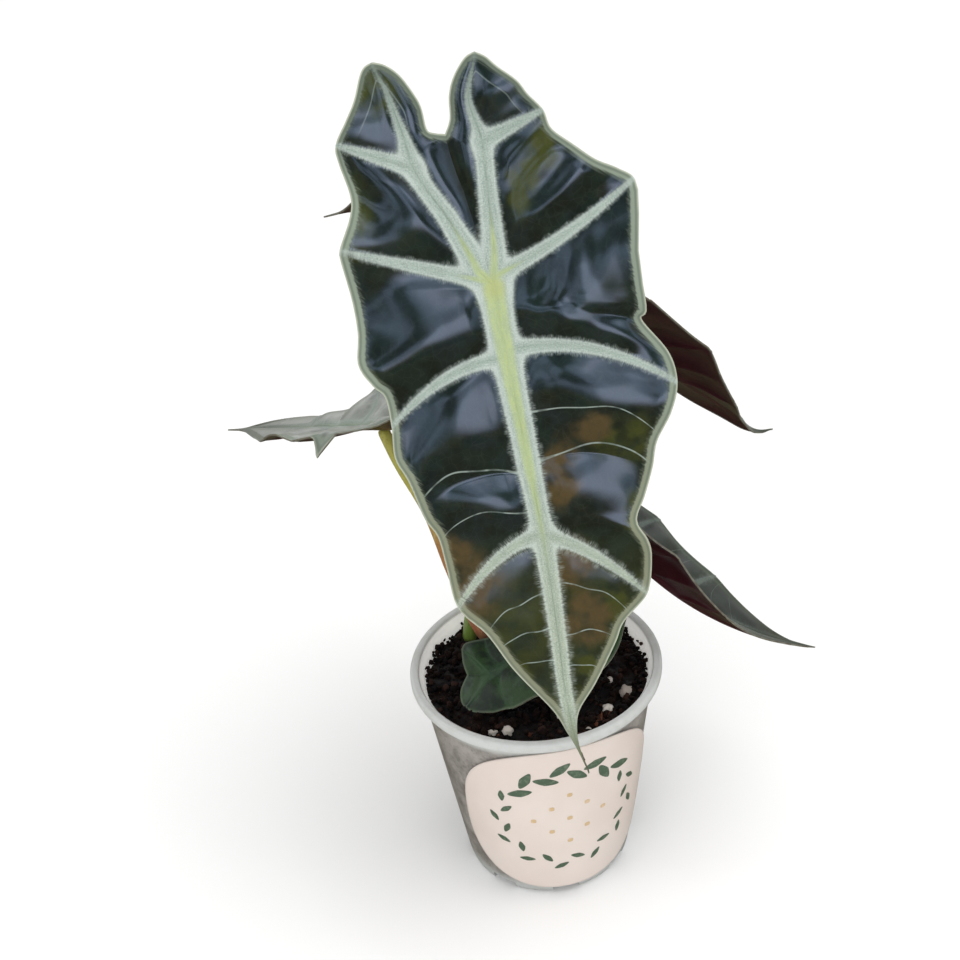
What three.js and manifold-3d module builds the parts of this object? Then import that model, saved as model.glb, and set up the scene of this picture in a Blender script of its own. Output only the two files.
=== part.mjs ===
// Potted alocasia: a young plant with arrow-shaped, pale-veined leaves in a small clear cup.
// Millimetres, +Z up, front towards -Y. The origin is the centre of the pot's underside.

import * as THREE from 'three';
import Module from 'manifold-3d';
import { mergeVertices } from 'three/addons/utils/BufferGeometryUtils.js';

const wasm = await Module();
wasm.setup();

// Clearance left between pieces that rest against each other
const SEAT = 0.3;

// Pot: a thin cup that widens upwards to a rounded lip
const POT_HEIGHT = 57;
const LIP_RADIUS = 30;
const LIP_DEPTH = 3.5;
const LIP_ROUNDING = 0.9;
const NECK_RADIUS = 27.7;
const BASE_RADIUS = 20.3;
const BASE_ROUNDING = 1.0;
const WALL = 1.1;
const FLOOR = 1.4;
const POT_SIDES = 48;

// Drainage notches cut through the bottom edge of the pot, which leave feet between them
const NOTCH_COUNT = 8;
const NOTCH_FIRST_ANGLE = -37.5;
const NOTCH_WIDTH = 6.5;
const NOTCH_HEIGHT = 2.3;
const NOTCH_DEPTH = 3.6;

// Soil: its level, the height of its unevenness, and the crumbs and grains that stand out of it
const SOIL_LEVEL = 52.4;
const SOIL_RELIEF = 0.75;
const SOIL_BUMP_WIDTH = 2.6;
const SOIL_RINGS = 8;
const CRUMB_COUNT = 22;
const CRUMB_RADIUS = [0.9, 1.7];
const CRUMB_SHAPE = [1, 0.8, 0.6];
const CRUMB_TO_WALL = 1.4;

// Round label on the outside of the cup
const LABEL_WIDTH = 52.5;
const LABEL_HEIGHT = 50.4;
const LABEL_CENTRE_HEIGHT = 27.8;
const LABEL_ANGLE = 10.3;
const LABEL_THICKNESS = 0.35;
const LABEL_SQUARENESS = 2.6;
const LABEL_SIDES = 44;

// Corm: the swollen base that the leaf stalks grow from, its top level with the soil
const CROWN = [0.5, 9.5];
const CORM_PROFILE = [[0, 38], [3.6, 38.8], [6.2, 42.5], [7.6, 47], [7.3, 50.4], [5, 52.4], [0, 53.2]];
const CORM_SIDES = 20;

// Leaves
const BLADE_THICKNESS = 0.65;
const MIDRIB_RIDGE = 0.9;
const STEM_ROWS = 12;
const STEM_SIDES = 8;

// Helpers for numbers and curves

const radians = THREE.MathUtils.degToRad;

// Reads a value from pairs of [place, value], straight between neighbours
function between(pairs, place) {
  if (place <= pairs[0][0]) {
    return pairs[0][1];
  }
  for (let i = 1; i < pairs.length; i += 1) {
    const [before, low] = pairs[i - 1];
    const [after, high] = pairs[i];
    if (place <= after) {
      return low + (high - low) * (place - before) / (after - before);
    }
  }
  return pairs[pairs.length - 1][1];
}

const curveOf = (points) => new THREE.SplineCurve(points.map(([x, y]) => new THREE.Vector2(x, y)));

const atIndex = (curve, index) => curve.getPoint(index / (curve.points.length - 1));

// The point of a curve that climbs steadily in y, at height y
function atHeight(curve, y) {
  const index = between(curve.points.map((point, i) => [point.y, i]), y);
  return new THREE.Vector2(atIndex(curve, index).x, y);
}

// A repeatable number from 0 to 1 for a pair of whole numbers
function hash(i, j) {
  const value = Math.sin(i * 127.1 + j * 311.7) * 43758.5453;
  return value - Math.floor(value);
}

// Smooth unevenness from -1 to 1 with bumps about one unit wide
function unevenness(x, y) {
  const i = Math.floor(x);
  const j = Math.floor(y);
  const u = (x - i) * (x - i) * (3 - 2 * (x - i));
  const v = (y - j) * (y - j) * (3 - 2 * (y - j));
  const near = hash(i, j) * (1 - u) + hash(i + 1, j) * u;
  const far = hash(i, j + 1) * (1 - u) + hash(i + 1, j + 1) * u;
  return 2 * (near * (1 - v) + far * v) - 1;
}

// Helpers for solids

function solidOf(geometry) {
  const bare = geometry.clone();
  bare.deleteAttribute('normal');
  bare.deleteAttribute('uv');
  const merged = mergeVertices(bare, 1e-4);
  const vertProperties = Float32Array.from(merged.attributes.position.array);
  const triVerts = Uint32Array.from(merged.index.array);
  return new wasm.Manifold(new wasm.Mesh({ numProp: 3, vertProperties, triVerts }));
}

// The largest body of a solid, so that no loose scrap is left by a cut
function largest(solid) {
  const bodies = solid.decompose();
  bodies.sort((a, b) => b.volume() - a.volume());
  return bodies[0];
}

function geometryOf(solid) {
  const { vertProperties, triVerts } = solid.getMesh();
  const geometry = new THREE.BufferGeometry();
  geometry.setAttribute('position', new THREE.BufferAttribute(vertProperties, 3));
  geometry.setIndex(new THREE.BufferAttribute(triVerts, 1));
  return geometry;
}

// A body of revolution round the Z axis from [radius, height] pairs
function turned(profile, sides) {
  const geometry = new THREE.LatheGeometry(profile.map(([r, z]) => new THREE.Vector2(r, z)), sides);
  return geometry.rotateX(Math.PI / 2);
}

function named(name, geometry, material) {
  const mesh = new THREE.Mesh(geometry, material);
  mesh.name = name;
  return mesh;
}

const finish = (color, roughness, opacity = 1) => new THREE.MeshStandardMaterial({
  color,
  roughness,
  metalness: 0,
  opacity,
  transparent: opacity < 1,
});

const CLEAR_PLASTIC = finish(0xd8dcda, 0.35, 0.6);
const LABEL_PAPER = finish(0xe6d9d0, 0.5);
const SOIL_MIX = finish(0x1b100a, 0.95);
const CORM_SKIN = finish(0x5a4630, 0.8);
const STALK = finish(0x8f8f3e, 0.45);
const DARK_BLADE = finish(0x1c2a22, 0.3);
const GREEN_BLADE = finish(0x2f4a2c, 0.35);

// Pot

const outerRadius = (z) => BASE_RADIUS + (NECK_RADIUS - BASE_RADIUS) * z / (POT_HEIGHT - LIP_DEPTH);
const innerRadius = (z) => outerRadius(z) - WALL;

function pot() {
  const lipBottom = POT_HEIGHT - LIP_DEPTH;
  const profile = [
    [0, 0],
    [BASE_RADIUS - BASE_ROUNDING, 0],
    [BASE_RADIUS - BASE_ROUNDING * 0.3, BASE_ROUNDING * 0.3],
    [outerRadius(BASE_ROUNDING), BASE_ROUNDING],
    [NECK_RADIUS, lipBottom],
    [LIP_RADIUS - LIP_ROUNDING, lipBottom],
    [LIP_RADIUS, lipBottom + LIP_ROUNDING],
    [LIP_RADIUS, POT_HEIGHT - LIP_ROUNDING],
    [LIP_RADIUS - LIP_ROUNDING * 0.3, POT_HEIGHT - LIP_ROUNDING * 0.3],
    [LIP_RADIUS - LIP_ROUNDING, POT_HEIGHT],
    [innerRadius(POT_HEIGHT) + LIP_ROUNDING / 2, POT_HEIGHT],
    [innerRadius(POT_HEIGHT), POT_HEIGHT - LIP_ROUNDING / 2],
    [innerRadius(FLOOR + BASE_ROUNDING), FLOOR + BASE_ROUNDING],
    [innerRadius(FLOOR) - BASE_ROUNDING, FLOOR],
    [0, FLOOR],
  ];
  let cup = solidOf(turned(profile, POT_SIDES));
  for (let i = 0; i < NOTCH_COUNT; i += 1) {
    const block = new THREE.BoxGeometry(NOTCH_WIDTH, NOTCH_DEPTH, 2 * NOTCH_HEIGHT);
    block.translate(0, -BASE_RADIUS, 0);
    block.rotateZ(radians(NOTCH_FIRST_ANGLE + 360 * i / NOTCH_COUNT));
    cup = cup.subtract(solidOf(block));
  }
  return geometryOf(largest(cup));
}

// Label

// The outline bends round the cup: a shell as thin as the label is cut by the outline seen square on
function label() {
  const low = LABEL_CENTRE_HEIGHT - LABEL_HEIGHT / 2;
  const high = LABEL_CENTRE_HEIGHT + LABEL_HEIGHT / 2;
  const shell = turned([
    [outerRadius(low) + SEAT, low],
    [outerRadius(low) + SEAT + LABEL_THICKNESS, low],
    [outerRadius(high) + SEAT + LABEL_THICKNESS, high],
    [outerRadius(high) + SEAT, high],
    [outerRadius(low) + SEAT, low],
  ], POT_SIDES);
  const rounded = (value) => Math.sign(value) * Math.abs(value) ** (2 / LABEL_SQUARENESS);
  const outline = [];
  for (let i = 0; i < LABEL_SIDES; i += 1) {
    const turn = 2 * Math.PI * (i + 0.5) / LABEL_SIDES;
    const z = LABEL_CENTRE_HEIGHT + rounded(Math.sin(turn)) * LABEL_HEIGHT / 2;
    const across = rounded(Math.cos(turn)) * LABEL_WIDTH / 2;
    const radius = outerRadius(z) + SEAT;
    outline.push(new THREE.Vector2(radius * Math.sin(across / radius), z));
  }
  const shape = new THREE.Shape(outline);
  const cutter = new THREE.ExtrudeGeometry(shape, { depth: LIP_RADIUS, bevelEnabled: false });
  cutter.rotateX(Math.PI / 2).rotateZ(radians(LABEL_ANGLE));
  return geometryOf(solidOf(shell).intersect(solidOf(cutter)));
}

// Sheets: points and triangles of a thin surface, which thicken gives its two faces and its rim

function addPoint(sheet, point, ridge) {
  const near = sheet.points.findIndex((other) => other.distanceToSquared(point) < 1e-6);
  if (near >= 0) {
    return near;
  }
  sheet.points.push(point);
  sheet.ridges.push(ridge);
  return sheet.points.length - 1;
}

function addTriangle(sheet, a, b, c) {
  if (a !== b && b !== c && c !== a) {
    sheet.triangles.push([a, b, c]);
  }
}

function normalsOf(sheet) {
  const normals = sheet.points.map(() => new THREE.Vector3());
  for (const corners of sheet.triangles) {
    const [a, b, c] = corners.map((i) => sheet.points[i]);
    const face = b.clone().sub(a).cross(c.clone().sub(a));
    corners.forEach((i) => normals[i].add(face));
  }
  return normals.map((normal) => normal.normalize());
}

// Both faces take the same triangles; the lower one stands out further where a rib runs
function thicken(sheet, thickness, clearance) {
  const normals = normalsOf(sheet);
  const half = thickness / 2 + clearance;
  const count = sheet.points.length;
  const upper = sheet.points.map((point, i) => point.clone().addScaledVector(normals[i], half));
  const lower = sheet.points.map((point, i) => (
    point.clone().addScaledVector(normals[i], -half - sheet.ridges[i])
  ));
  const edges = new Set();
  for (const [a, b, c] of sheet.triangles) {
    edges.add(`${a} ${b}`).add(`${b} ${c}`).add(`${c} ${a}`);
  }
  const index = [];
  for (const [a, b, c] of sheet.triangles) {
    index.push(a, b, c, count + c, count + b, count + a);
    for (const [from, to] of [[a, b], [b, c], [c, a]]) {
      if (!edges.has(`${to} ${from}`)) {
        index.push(count + from, count + to, to, count + from, to, from);
      }
    }
  }
  const geometry = new THREE.BufferGeometry().setFromPoints([...upper, ...lower]);
  return geometry.setIndex(index);
}

// Leaf shapes, flat and seen from above, with the stalk's joint at (0, 0) and the tip at low y.
// The midrib climbs from the tip to the joint, and each side has
//   rib: from the joint to the tip of the side's basal lobe,
//   margin: from the leaf tip to the lobe tip,
//   veins: [height where it leaves the midrib or rib, place on the margin, upward bow, strength],
//     where a strength of 0 only ties the margin to the midrib,
//   inner: from the notch between the lobes to the lobe tip.
// notch is the place where the two lobes part, and notchRow the height on both ribs tied to it.

const FRONT_SHAPE = {
  notch: [-6.6, 29.8],
  notchRow: 26,
  midrib: [[10.7, -103.8], [8.3, -95], [7.1, -84], [6.6, -72], [5.3, -51], [3, -29.5], [1, -11.2], [0, 0]],
  right: {
    rib: [[0, 0], [0.7, 7.5], [0.5, 18], [0.2, 28.4], [-1.6, 36], [0.4, 44.3]],
    margin: [
      [10.7, -103.8], [9.3, -98.2], [8.9, -93.7], [9.8, -89.3], [13.6, -83.4], [18.3, -74.8], [20.4, -70.7],
      [25.7, -65.1], [27, -57.3], [26.3, -53], [24.4, -49], [26.6, -44], [28.5, -38.5], [29.6, -33],
      [32.6, -27.2], [34.2, -21.6], [33.1, -15.8], [28.3, -8.9], [29.2, -6.5], [28.3, 3.7], [29.1, 14.5],
      [28.6, 18.4], [25.5, 20.6], [21.3, 22.7], [17.1, 26], [13.6, 29], [12.3, 32.6], [9.6, 35.8],
      [7.8, 38.4], [4.4, 41.2], [2.4, 43.2], [0.4, 44.3],
    ],
    veins: [
      [-103.8, 0, 0, 0], [-98, 1, 0, 0], [-90, 3, 0, 0], [-72, 5.3, 0, 0], [-50.5, 7, 2, 1],
      [-44.5, 10, 1, 0], [-36, 12, 0.5, 0.5], [-12.5, 15, 3.7, 1], [-4, 17, 1, 0], [0, 18.5, 0, 0],
      [2.2, 21, -1.3, 1], [27.8, 26, 0, 1], [44.3, 31, 0, 0],
    ],
    inner: [[-6.6, 29.8], [-5.4, 32.5], [-5.1, 36.8], [-3.9, 40.2], [-1.6, 43.3], [0.4, 44.3]],
  },
  left: {
    rib: [[0, 0], [-2.8, 3.5], [-7.6, 14], [-12.7, 22.8], [-14.8, 31], [-17, 39], [-19.1, 44.1]],
    margin: [
      [10.7, -103.8], [8.6, -98], [6.8, -94], [4.4, -89], [-0.5, -82.5], [-3.7, -77.8], [-8, -70.2],
      [-13.3, -64], [-14.8, -55.5], [-15.9, -48.9], [-18.1, -44.4], [-20.5, -36.5], [-22.7, -31.7],
      [-22.8, -25.5], [-23.4, -19.3], [-25.4, -16.6], [-27.8, -12.2], [-27.3, -6.5], [-27.7, 0],
      [-28.8, 7], [-28.9, 10], [-26.4, 15.8], [-25.8, 20], [-27.3, 26.5], [-27.4, 29.8], [-25, 34],
      [-23.1, 37.5], [-21.6, 41.7], [-20.5, 43.4], [-19.1, 44.1],
    ],
    veins: [
      [-103.8, 0, 0, 0], [-98, 1, 0, 0], [-90, 3, 0, 0], [-72, 5.6, 0, 0], [-50.5, 7, 2.9, 1],
      [-38, 11, 1, 0.5], [-14, 13, 3.2, 1], [-6, 16, 1, 0], [0, 18.5, 0, 0], [1.2, 20, 0, 1],
      [24, 24, 0, 1], [44.1, 29, 0, 0],
    ],
    inner: [
      [-6.6, 29.8], [-8.5, 30.1], [-10, 31], [-10.7, 35.2], [-12.1, 38.2], [-14.2, 41.4], [-16.7, 43.4],
      [-19.1, 44.1],
    ],
  },
};

const YOUNG_SHAPE = {
  notch: [3, 4.8],
  notchRow: 1.8,
  midrib: [[0, -38.7], [0, -20], [0, 0]],
  right: {
    rib: [[0, 0], [4.5, 1.5], [9.9, 3.2]],
    margin: [[0, -38.7], [4.5, -31], [6.4, -21], [6.8, -14], [7.2, -8], [9, -3], [10.6, 1.6], [9.9, 3.2]],
    veins: [[-38.7, 0, 0, 0], [-18, 3, 0, 1], [-3, 5, 1, 1], [0, 6, 0, 0], [3.2, 7, 0, 0]],
    inner: [[3, 4.8], [6.5, 4.4], [9.9, 3.2]],
  },
  left: {
    rib: [[0, 0], [-2.6, 4.4], [-4.5, 8.6]],
    margin: [
      [0, -38.7], [-5, -34.2], [-10.7, -29.4], [-14.3, -24], [-15.4, -18.5], [-14.2, -13], [-12.1, -8],
      [-11.6, -2.1], [-10.2, 0.6], [-9.1, 3.7], [-6.6, 7.3], [-4.5, 8.6],
    ],
    veins: [
      [-38.7, 0, 0, 0], [-18, 4.5, 1, 1], [-3, 7.5, 1, 1], [0, 8.5, 0, 0], [1.8, 9.5, 0, 0], [8.6, 11, 0, 0],
    ],
    inner: [[3, 4.8], [0.5, 7.7], [-2.4, 8.9], [-4.5, 8.6]],
  },
};

// The other leaves share one even shape, 100 from joint to tip, which each leaf narrows and sizes
function evenShape(width) {
  const side = (hand) => {
    const wide = (points) => points.map(([x, y]) => [hand * width * x, y]);
    return {
      rib: wide([[0, 0], [3, 10], [6.5, 22], [9.5, 34], [12.5, 45]]),
      margin: wide([
        [0, -100], [0.9, -95], [1.7, -90], [4.5, -83], [9.5, -74], [15, -64], [19.5, -55], [22, -45],
        [25, -34], [28.5, -22], [28.5, -10], [28, 2], [27.5, 14], [25.5, 24], [21.5, 33], [17, 40],
        [12.5, 45],
      ]),
      veins: [
        [-100, 0, 0, 0], [-95, 1, 0, 0], [-86, 3, 0, 0], [-72, 4.6, 0, 0], [-42, 6, 2, 1], [-26, 7.6, 1, 0.5],
        [-12, 9, 3, 1], [0, 10.5, 0, 0], [2, 12, -1, 1], [26, 14, 0, 1], [45, 16, 0, 0],
      ],
      inner: wide([[0, 27], [3, 32], [7, 40], [12.5, 45]]),
    };
  };
  const midrib = [[0, -100], [0, -50], [0, 0]];
  return { notch: [0, 27], notchRow: 24, midrib, right: side(1), left: side(-1) };
}

// Each leaf: where the stalk joins it, where its tip is, and how far its face rolls round that line
// from facing up. folds are the angles at the tip, near the joint and at the lobes by which each half
// rises from the midrib. bends are the curvatures towards the tip and the lobes, twist turns the
// blade along its length, quilt is the rise between veins, and wave is the height of the edge's waves.
// route is the stalk's way from the crown or the soil up to just behind the blade.
const LEAVES = [
  {
    name: 'front',
    shape: FRONT_SHAPE,
    columns: 5,
    junction: [-2.7, -10, 158.9],
    tip: [8.1, -43, 60],
    roll: 17.2,
    folds: { left: [4, 4, 4], right: [4, 4, 4] },
    bends: [0, 0],
    twist: 0,
    quilt: 1.8,
    wave: 1.2,
    waveRate: 1.3,
    wavePhase: 0.4,
    route: [[3.4, 6.6, 49], [4.6, 8, 70], [3.4, 8, 100], [0.4, 5, 130], [-1.8, 1.5, 146], [-2.6, -3, 154.5]],
    radii: [2, 1.3],
    material: DARK_BLADE,
  },
  {
    name: 'left',
    shape: evenShape(0.686),
    columns: 4,
    junction: [-29.7, 10, 118.7],
    tip: [-72.6, 59, 94.1],
    roll: -17.5,
    folds: { left: [-21.6, 1.5, -40.3], right: [36.9, 18.7, 77] },
    bends: [0, 0.002],
    twist: -2.8,
    quilt: 1.8,
    wave: 4.6,
    waveRate: 0.78,
    wavePhase: 5.82,
    route: [
      [-4.5, 9.8, 49], [-8.5, 8.8, 55], [-12, 8, 61], [-14.4, 7.6, 68], [-17.7, 7.5, 80.7],
      [-21.4, 8.2, 96.2], [-26.7, 9.3, 109.4],
    ],
    radii: [2, 1.4],
    material: DARK_BLADE,
  },
  {
    name: 'right_lower',
    shape: evenShape(0.86),
    columns: 4,
    junction: [18.4, 6, 90.7],
    tip: [66.9, -0.9, 53.1],
    roll: -18.4,
    folds: { left: [21, 36, 1.4], right: [21, 36, 1.4] },
    bends: [-0.008, 0.002],
    twist: -16.3,
    quilt: 1.8,
    wave: 0.7,
    waveRate: 1,
    wavePhase: 0.1,
    route: [[5.2, 10.6, 49], [8.6, 11.2, 62], [12.6, 9.8, 75], [16.8, 7.2, 85.5]],
    radii: [2, 1.2],
    material: DARK_BLADE,
  },
  {
    name: 'right_upper',
    shape: evenShape(0.98),
    columns: 4,
    junction: [24.6, 26, 129.2],
    tip: [66.2, 46.6, 85.8],
    roll: -11.3,
    folds: { left: [-35.2, 19.4, 15.1], right: [-35.2, 19.4, 15.1] },
    bends: [-0.0019, 0.002],
    twist: -1.1,
    quilt: 1.8,
    wave: 0.6,
    waveRate: 1.1,
    wavePhase: 0.4,
    route: [[0.5, 14.3, 49], [2.2, 19.5, 75], [7.5, 26, 103], [20.2, 27.4, 122]],
    radii: [2, 1.2],
    material: DARK_BLADE,
  },
  {
    name: 'back',
    shape: evenShape(0.9),
    columns: 4,
    junction: [1.1, 32, 159.2],
    tip: [-40.8, 66, 146.7],
    roll: 23,
    folds: { left: [10, 16, 12], right: [10, 16, 12] },
    bends: [0.003, 0.002],
    twist: 6,
    quilt: 1.8,
    wave: 1.4,
    waveRate: 1.2,
    wavePhase: 1.1,
    route: [
      [-15.8, 16.4, 45], [-14.8, 17, 56], [-11.8, 19, 67], [-5.5, 23.5, 100], [-1.4, 28, 132], [0.8, 31, 153],
    ],
    radii: [1.8, 1.2],
    material: DARK_BLADE,
  },
  {
    name: 'young',
    shape: YOUNG_SHAPE,
    columns: 4,
    junction: [-11.1, -5.4, 58.3],
    tip: [24.5, 3.6, 70.3],
    roll: 17.1,
    folds: { left: [6, 4, 0], right: [6, 4, 0] },
    bends: [0.004, 0.01],
    twist: 0,
    quilt: 0.8,
    wave: 0.5,
    waveRate: 2,
    wavePhase: 0.6,
    route: [[-1.4, 5.6, 49.5], [-3.4, 3.4, 53.6], [-7, -0.8, 56]],
    radii: [1.5, 0.9],
    material: GREEN_BLADE,
  },
];

const SIDE_NAMES = ['left', 'right'];

// The shape's outlines as curves, with the line that the blade folds along
function curvesOf(shape) {
  const sides = {};
  for (const name of SIDE_NAMES) {
    const side = shape[name];
    const last = side.veins.length - 1;
    sides[name] = {
      rib: curveOf(side.rib),
      margin: curveOf(side.margin),
      inner: curveOf(side.inner),
      ties: side.veins.map(([root, end]) => [root, end]),
      bows: side.veins.map(([root, , bow]) => [root, bow]),
      innerTies: [[shape.notchRow, 0], [side.rib.at(-1)[1], side.inner.length - 1]],
      cells: side.veins.filter(([, , , strength], i) => strength > 0 || i === 0 || i === last),
    };
  }
  const notch = new THREE.Vector2(...shape.notch);
  const fold = curveOf([...shape.midrib, shape.notch, [notch.x * 1.5, notch.y * 1.5]]);
  return { midrib: curveOf(shape.midrib), fold, sides, notch, notchRow: shape.notchRow };
}

// Folds, twists and bends the flat blade: flat place (x, y) at height h above the face
function form(leaf, curves, x, y, h) {
  const axis = atHeight(curves.fold, y).x;
  const length = -leaf.shape.midrib[0][1];
  const lobe = curves.sides.right.rib.points.at(-1).y;
  const [atTip, atJoint, atLobe] = x < axis ? leaf.folds.left : leaf.folds.right;
  const fold = radians(between([[-length, atTip], [-length / 5, atJoint], [lobe, atLobe]], y));
  const across = (x - axis) * Math.cos(fold);
  const rise = Math.abs(x - axis) * Math.sin(fold) + h;
  const turn = radians(leaf.twist) * y / 100;
  const side = across * Math.cos(turn) - rise * Math.sin(turn);
  const lift = across * Math.sin(turn) + rise * Math.cos(turn);
  const curvature = (y < 0 ? leaf.bends[0] : leaf.bends[1]) + 1e-9;
  const angle = curvature * y;
  return new THREE.Vector3(
    axis + side,
    Math.sin(angle) / curvature + lift * Math.sin(angle),
    (Math.cos(angle) - 1) / curvature + lift * Math.cos(angle),
  );
}

// Turns and sizes the formed blade so that its joint and tip lie where the leaf says
function placing(leaf, curves) {
  const [tipX, tipY] = leaf.shape.midrib[0];
  const localTip = form(leaf, curves, tipX, tipY, 0);
  const localLine = localTip.clone().normalize();
  const localFace = new THREE.Vector3(0, 0, 1).addScaledVector(localLine, -localLine.z).normalize();
  const localAcross = localFace.clone().cross(localLine);
  const junction = new THREE.Vector3(...leaf.junction);
  const reach = new THREE.Vector3(...leaf.tip).sub(junction);
  const line = reach.clone().normalize();
  const up = new THREE.Vector3(0, 0, 1).addScaledVector(line, -line.z).normalize();
  const face = up.clone().applyAxisAngle(line, radians(leaf.roll));
  const across = face.clone().cross(line);
  const local = new THREE.Matrix4().makeBasis(localAcross, localLine, localFace);
  const world = new THREE.Matrix4().makeBasis(across, line, face);
  const size = reach.length() / localTip.length();
  const matrix = world.multiply(local.transpose());
  matrix.scale(new THREE.Vector3(size, size, size));
  return { matrix: matrix.setPosition(junction), face };
}

// Rows of the blade between two heights, close enough for the margins of all the given sides
function rowsBetween(from, to, sides) {
  const spans = sides.map((side) => Math.abs(between(side.ties, to) - between(side.ties, from)));
  const count = Math.max(1, Math.ceil(Math.max(...spans) - 1e-6));
  return Array.from({ length: count }, (_, i) => from + (to - from) * i / count);
}

// Heights of the rows of one side. Up to the notch they are those of the other side too.
function rowHeights(curves, name) {
  const both = SIDE_NAMES.map((other) => curves.sides[other]);
  const side = curves.sides[name];
  const shared = both.flatMap((one) => one.ties.map(([root]) => root)).filter((y) => y < curves.notchRow);
  const lower = [...new Set([...shared, curves.notchRow])].sort((a, b) => a - b);
  const upper = side.ties.map(([root]) => root).filter((y) => y > curves.notchRow);
  const rows = [];
  for (let i = 1; i < lower.length; i += 1) {
    rows.push(...rowsBetween(lower[i - 1], lower[i], both));
  }
  const stations = [curves.notchRow, ...upper];
  for (let i = 1; i < stations.length; i += 1) {
    rows.push(...rowsBetween(stations[i - 1], stations[i], [side]));
  }
  return [...rows, stations.at(-1)];
}

// Height of the quilted face and of the waved edge above the flat blade
function reliefOf(leaf, side, hand, y, share, width) {
  const cell = side.cells.findIndex(([root]) => root > y);
  const [low, high] = cell > 0 ? [side.cells[cell - 1][0], side.cells[cell][0]] : [y - 1, y];
  const phase = (y - low) / (high - low);
  const swell = Math.max(0, Math.sin(Math.PI * phase)) ** 0.9 * Math.sin(Math.PI * share ** 0.8);
  const shift = hand < 0 ? 0 : 1.7;
  const ripple = share ** 3 * Math.sin(between(side.ties, y) * leaf.waveRate + leaf.wavePhase + shift);
  return leaf.quilt * Math.min(width / 25, 1) * swell + leaf.wave * Math.min(width / 20, 1) * ripple;
}

// Joins a grid of rows of points into a sheet, turned over where turnOver is true
function addGrid(sheet, rows, turnOver) {
  for (let i = 1; i < rows.length; i += 1) {
    for (let j = 1; j < rows[i].length; j += 1) {
      const [a, b, c, d] = [rows[i - 1][j - 1], rows[i - 1][j], rows[i][j], rows[i][j - 1]];
      if (turnOver) {
        addTriangle(sheet, a, c, b);
        addTriangle(sheet, a, d, c);
      } else {
        addTriangle(sheet, a, b, c);
        addTriangle(sheet, a, c, d);
      }
    }
  }
}

function bladeSheet(leaf, curves, matrix) {
  const sheet = { points: [], ridges: [], triangles: [] };
  const length = -leaf.shape.midrib[0][1];
  const ridgeAt = (y) => MIDRIB_RIDGE * Math.max(0.15, 1 - Math.abs(y) / (y < 0 ? length : length / 2));
  const put = (flat, height, ridge) => {
    const point = form(leaf, curves, flat.x, flat.y, height).applyMatrix4(matrix);
    return addPoint(sheet, point, ridge);
  };
  for (const name of SIDE_NAMES) {
    const side = curves.sides[name];
    const hand = name === 'left' ? -1 : 1;
    const outer = [];
    const inner = [];
    for (const y of rowHeights(curves, name)) {
      const spine = y <= 0 ? atHeight(curves.midrib, y) : atHeight(side.rib, y);
      const edge = atIndex(side.margin, between(side.ties, y));
      const width = spine.distanceTo(edge);
      const row = [];
      for (let j = 0; j <= leaf.columns; j += 1) {
        const share = j / leaf.columns;
        const flat = spine.clone().lerp(edge, share);
        flat.y += between(side.bows, y) * 4 * share * (1 - share);
        row.push(put(flat, reliefOf(leaf, side, hand, y, share, width), j === 0 ? ridgeAt(y) : 0));
      }
      outer.push(row);
      if (y >= 0) {
        const middle = y < curves.notchRow
          ? curves.notch.clone().multiplyScalar(y / curves.notchRow)
          : atIndex(side.inner, between(side.innerTies, y));
        const half = spine.clone().lerp(middle, 0.5);
        const swell = 0.6 * leaf.quilt * Math.min(spine.distanceTo(middle) / 10, 1);
        inner.push([put(spine, 0, ridgeAt(y)), put(half, swell, 0), put(middle, 0, 0)]);
      }
    }
    addGrid(sheet, outer, hand < 0);
    addGrid(sheet, inner, hand > 0);
  }
  return sheet;
}

// The blade grown by the clearance outwards and sideways, along its own three directions
function roomFor(sheet, matrix) {
  const grown = solidOf(thicken(sheet, BLADE_THICKNESS, SEAT));
  const axes = [new THREE.Vector3(), new THREE.Vector3(), new THREE.Vector3()];
  matrix.extractBasis(...axes);
  let room = grown;
  for (const axis of axes) {
    const step = axis.normalize().multiplyScalar(SEAT);
    room = room.add(grown.translate(step.toArray()));
    room = room.add(grown.translate(step.negate().toArray()));
  }
  return room;
}

// A round stalk that tapers along its route, grown by clearance where it makes room for itself
function stalk(route, [thick, thin], clearance) {
  const curve = new THREE.CatmullRomCurve3(route.map((point) => new THREE.Vector3(...point)));
  const frames = curve.computeFrenetFrames(STEM_ROWS, false);
  const profile = [[0, 0]];
  for (let row = 0; row <= STEM_ROWS; row += 1) {
    const left = 1 - row / STEM_ROWS;
    profile.push([thin + (thick - thin) * left * left + clearance, row]);
  }
  profile.push([0, STEM_ROWS]);
  const points = profile.map(([r, row]) => new THREE.Vector2(r, row));
  const geometry = new THREE.LatheGeometry(points, STEM_SIDES);
  const position = geometry.attributes.position;
  for (let i = 0; i < position.count; i += 1) {
    const row = Math.round(position.getY(i));
    const point = curve.getPointAt(row / STEM_ROWS);
    point.addScaledVector(frames.binormals[row], position.getX(i));
    point.addScaledVector(frames.normals[row], position.getZ(i));
    const overrun = (row === STEM_ROWS) - (row === 0);
    point.addScaledVector(frames.tangents[row], overrun * clearance);
    position.setXYZ(i, point.x, point.y, point.z);
  }
  return solidOf(geometry);
}

// Corm

function corm(clearance, openTop) {
  const widest = Math.max(...CORM_PROFILE.map(([r]) => r));
  const middle = CORM_PROFILE.find(([r]) => r === widest)[1];
  const profile = CORM_PROFILE.map(([r, z]) => (
    [r > 0 ? r + clearance : 0, z + clearance * Math.sign(z - middle)]
  ));
  if (openTop) {
    const [radius, height] = profile[4];
    profile.splice(4, 3, [radius, height], [radius, POT_HEIGHT + 5], [0, POT_HEIGHT + 5]);
  }
  return solidOf(turned(profile, CORM_SIDES).translate(...CROWN, 0));
}

// Soil

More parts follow.
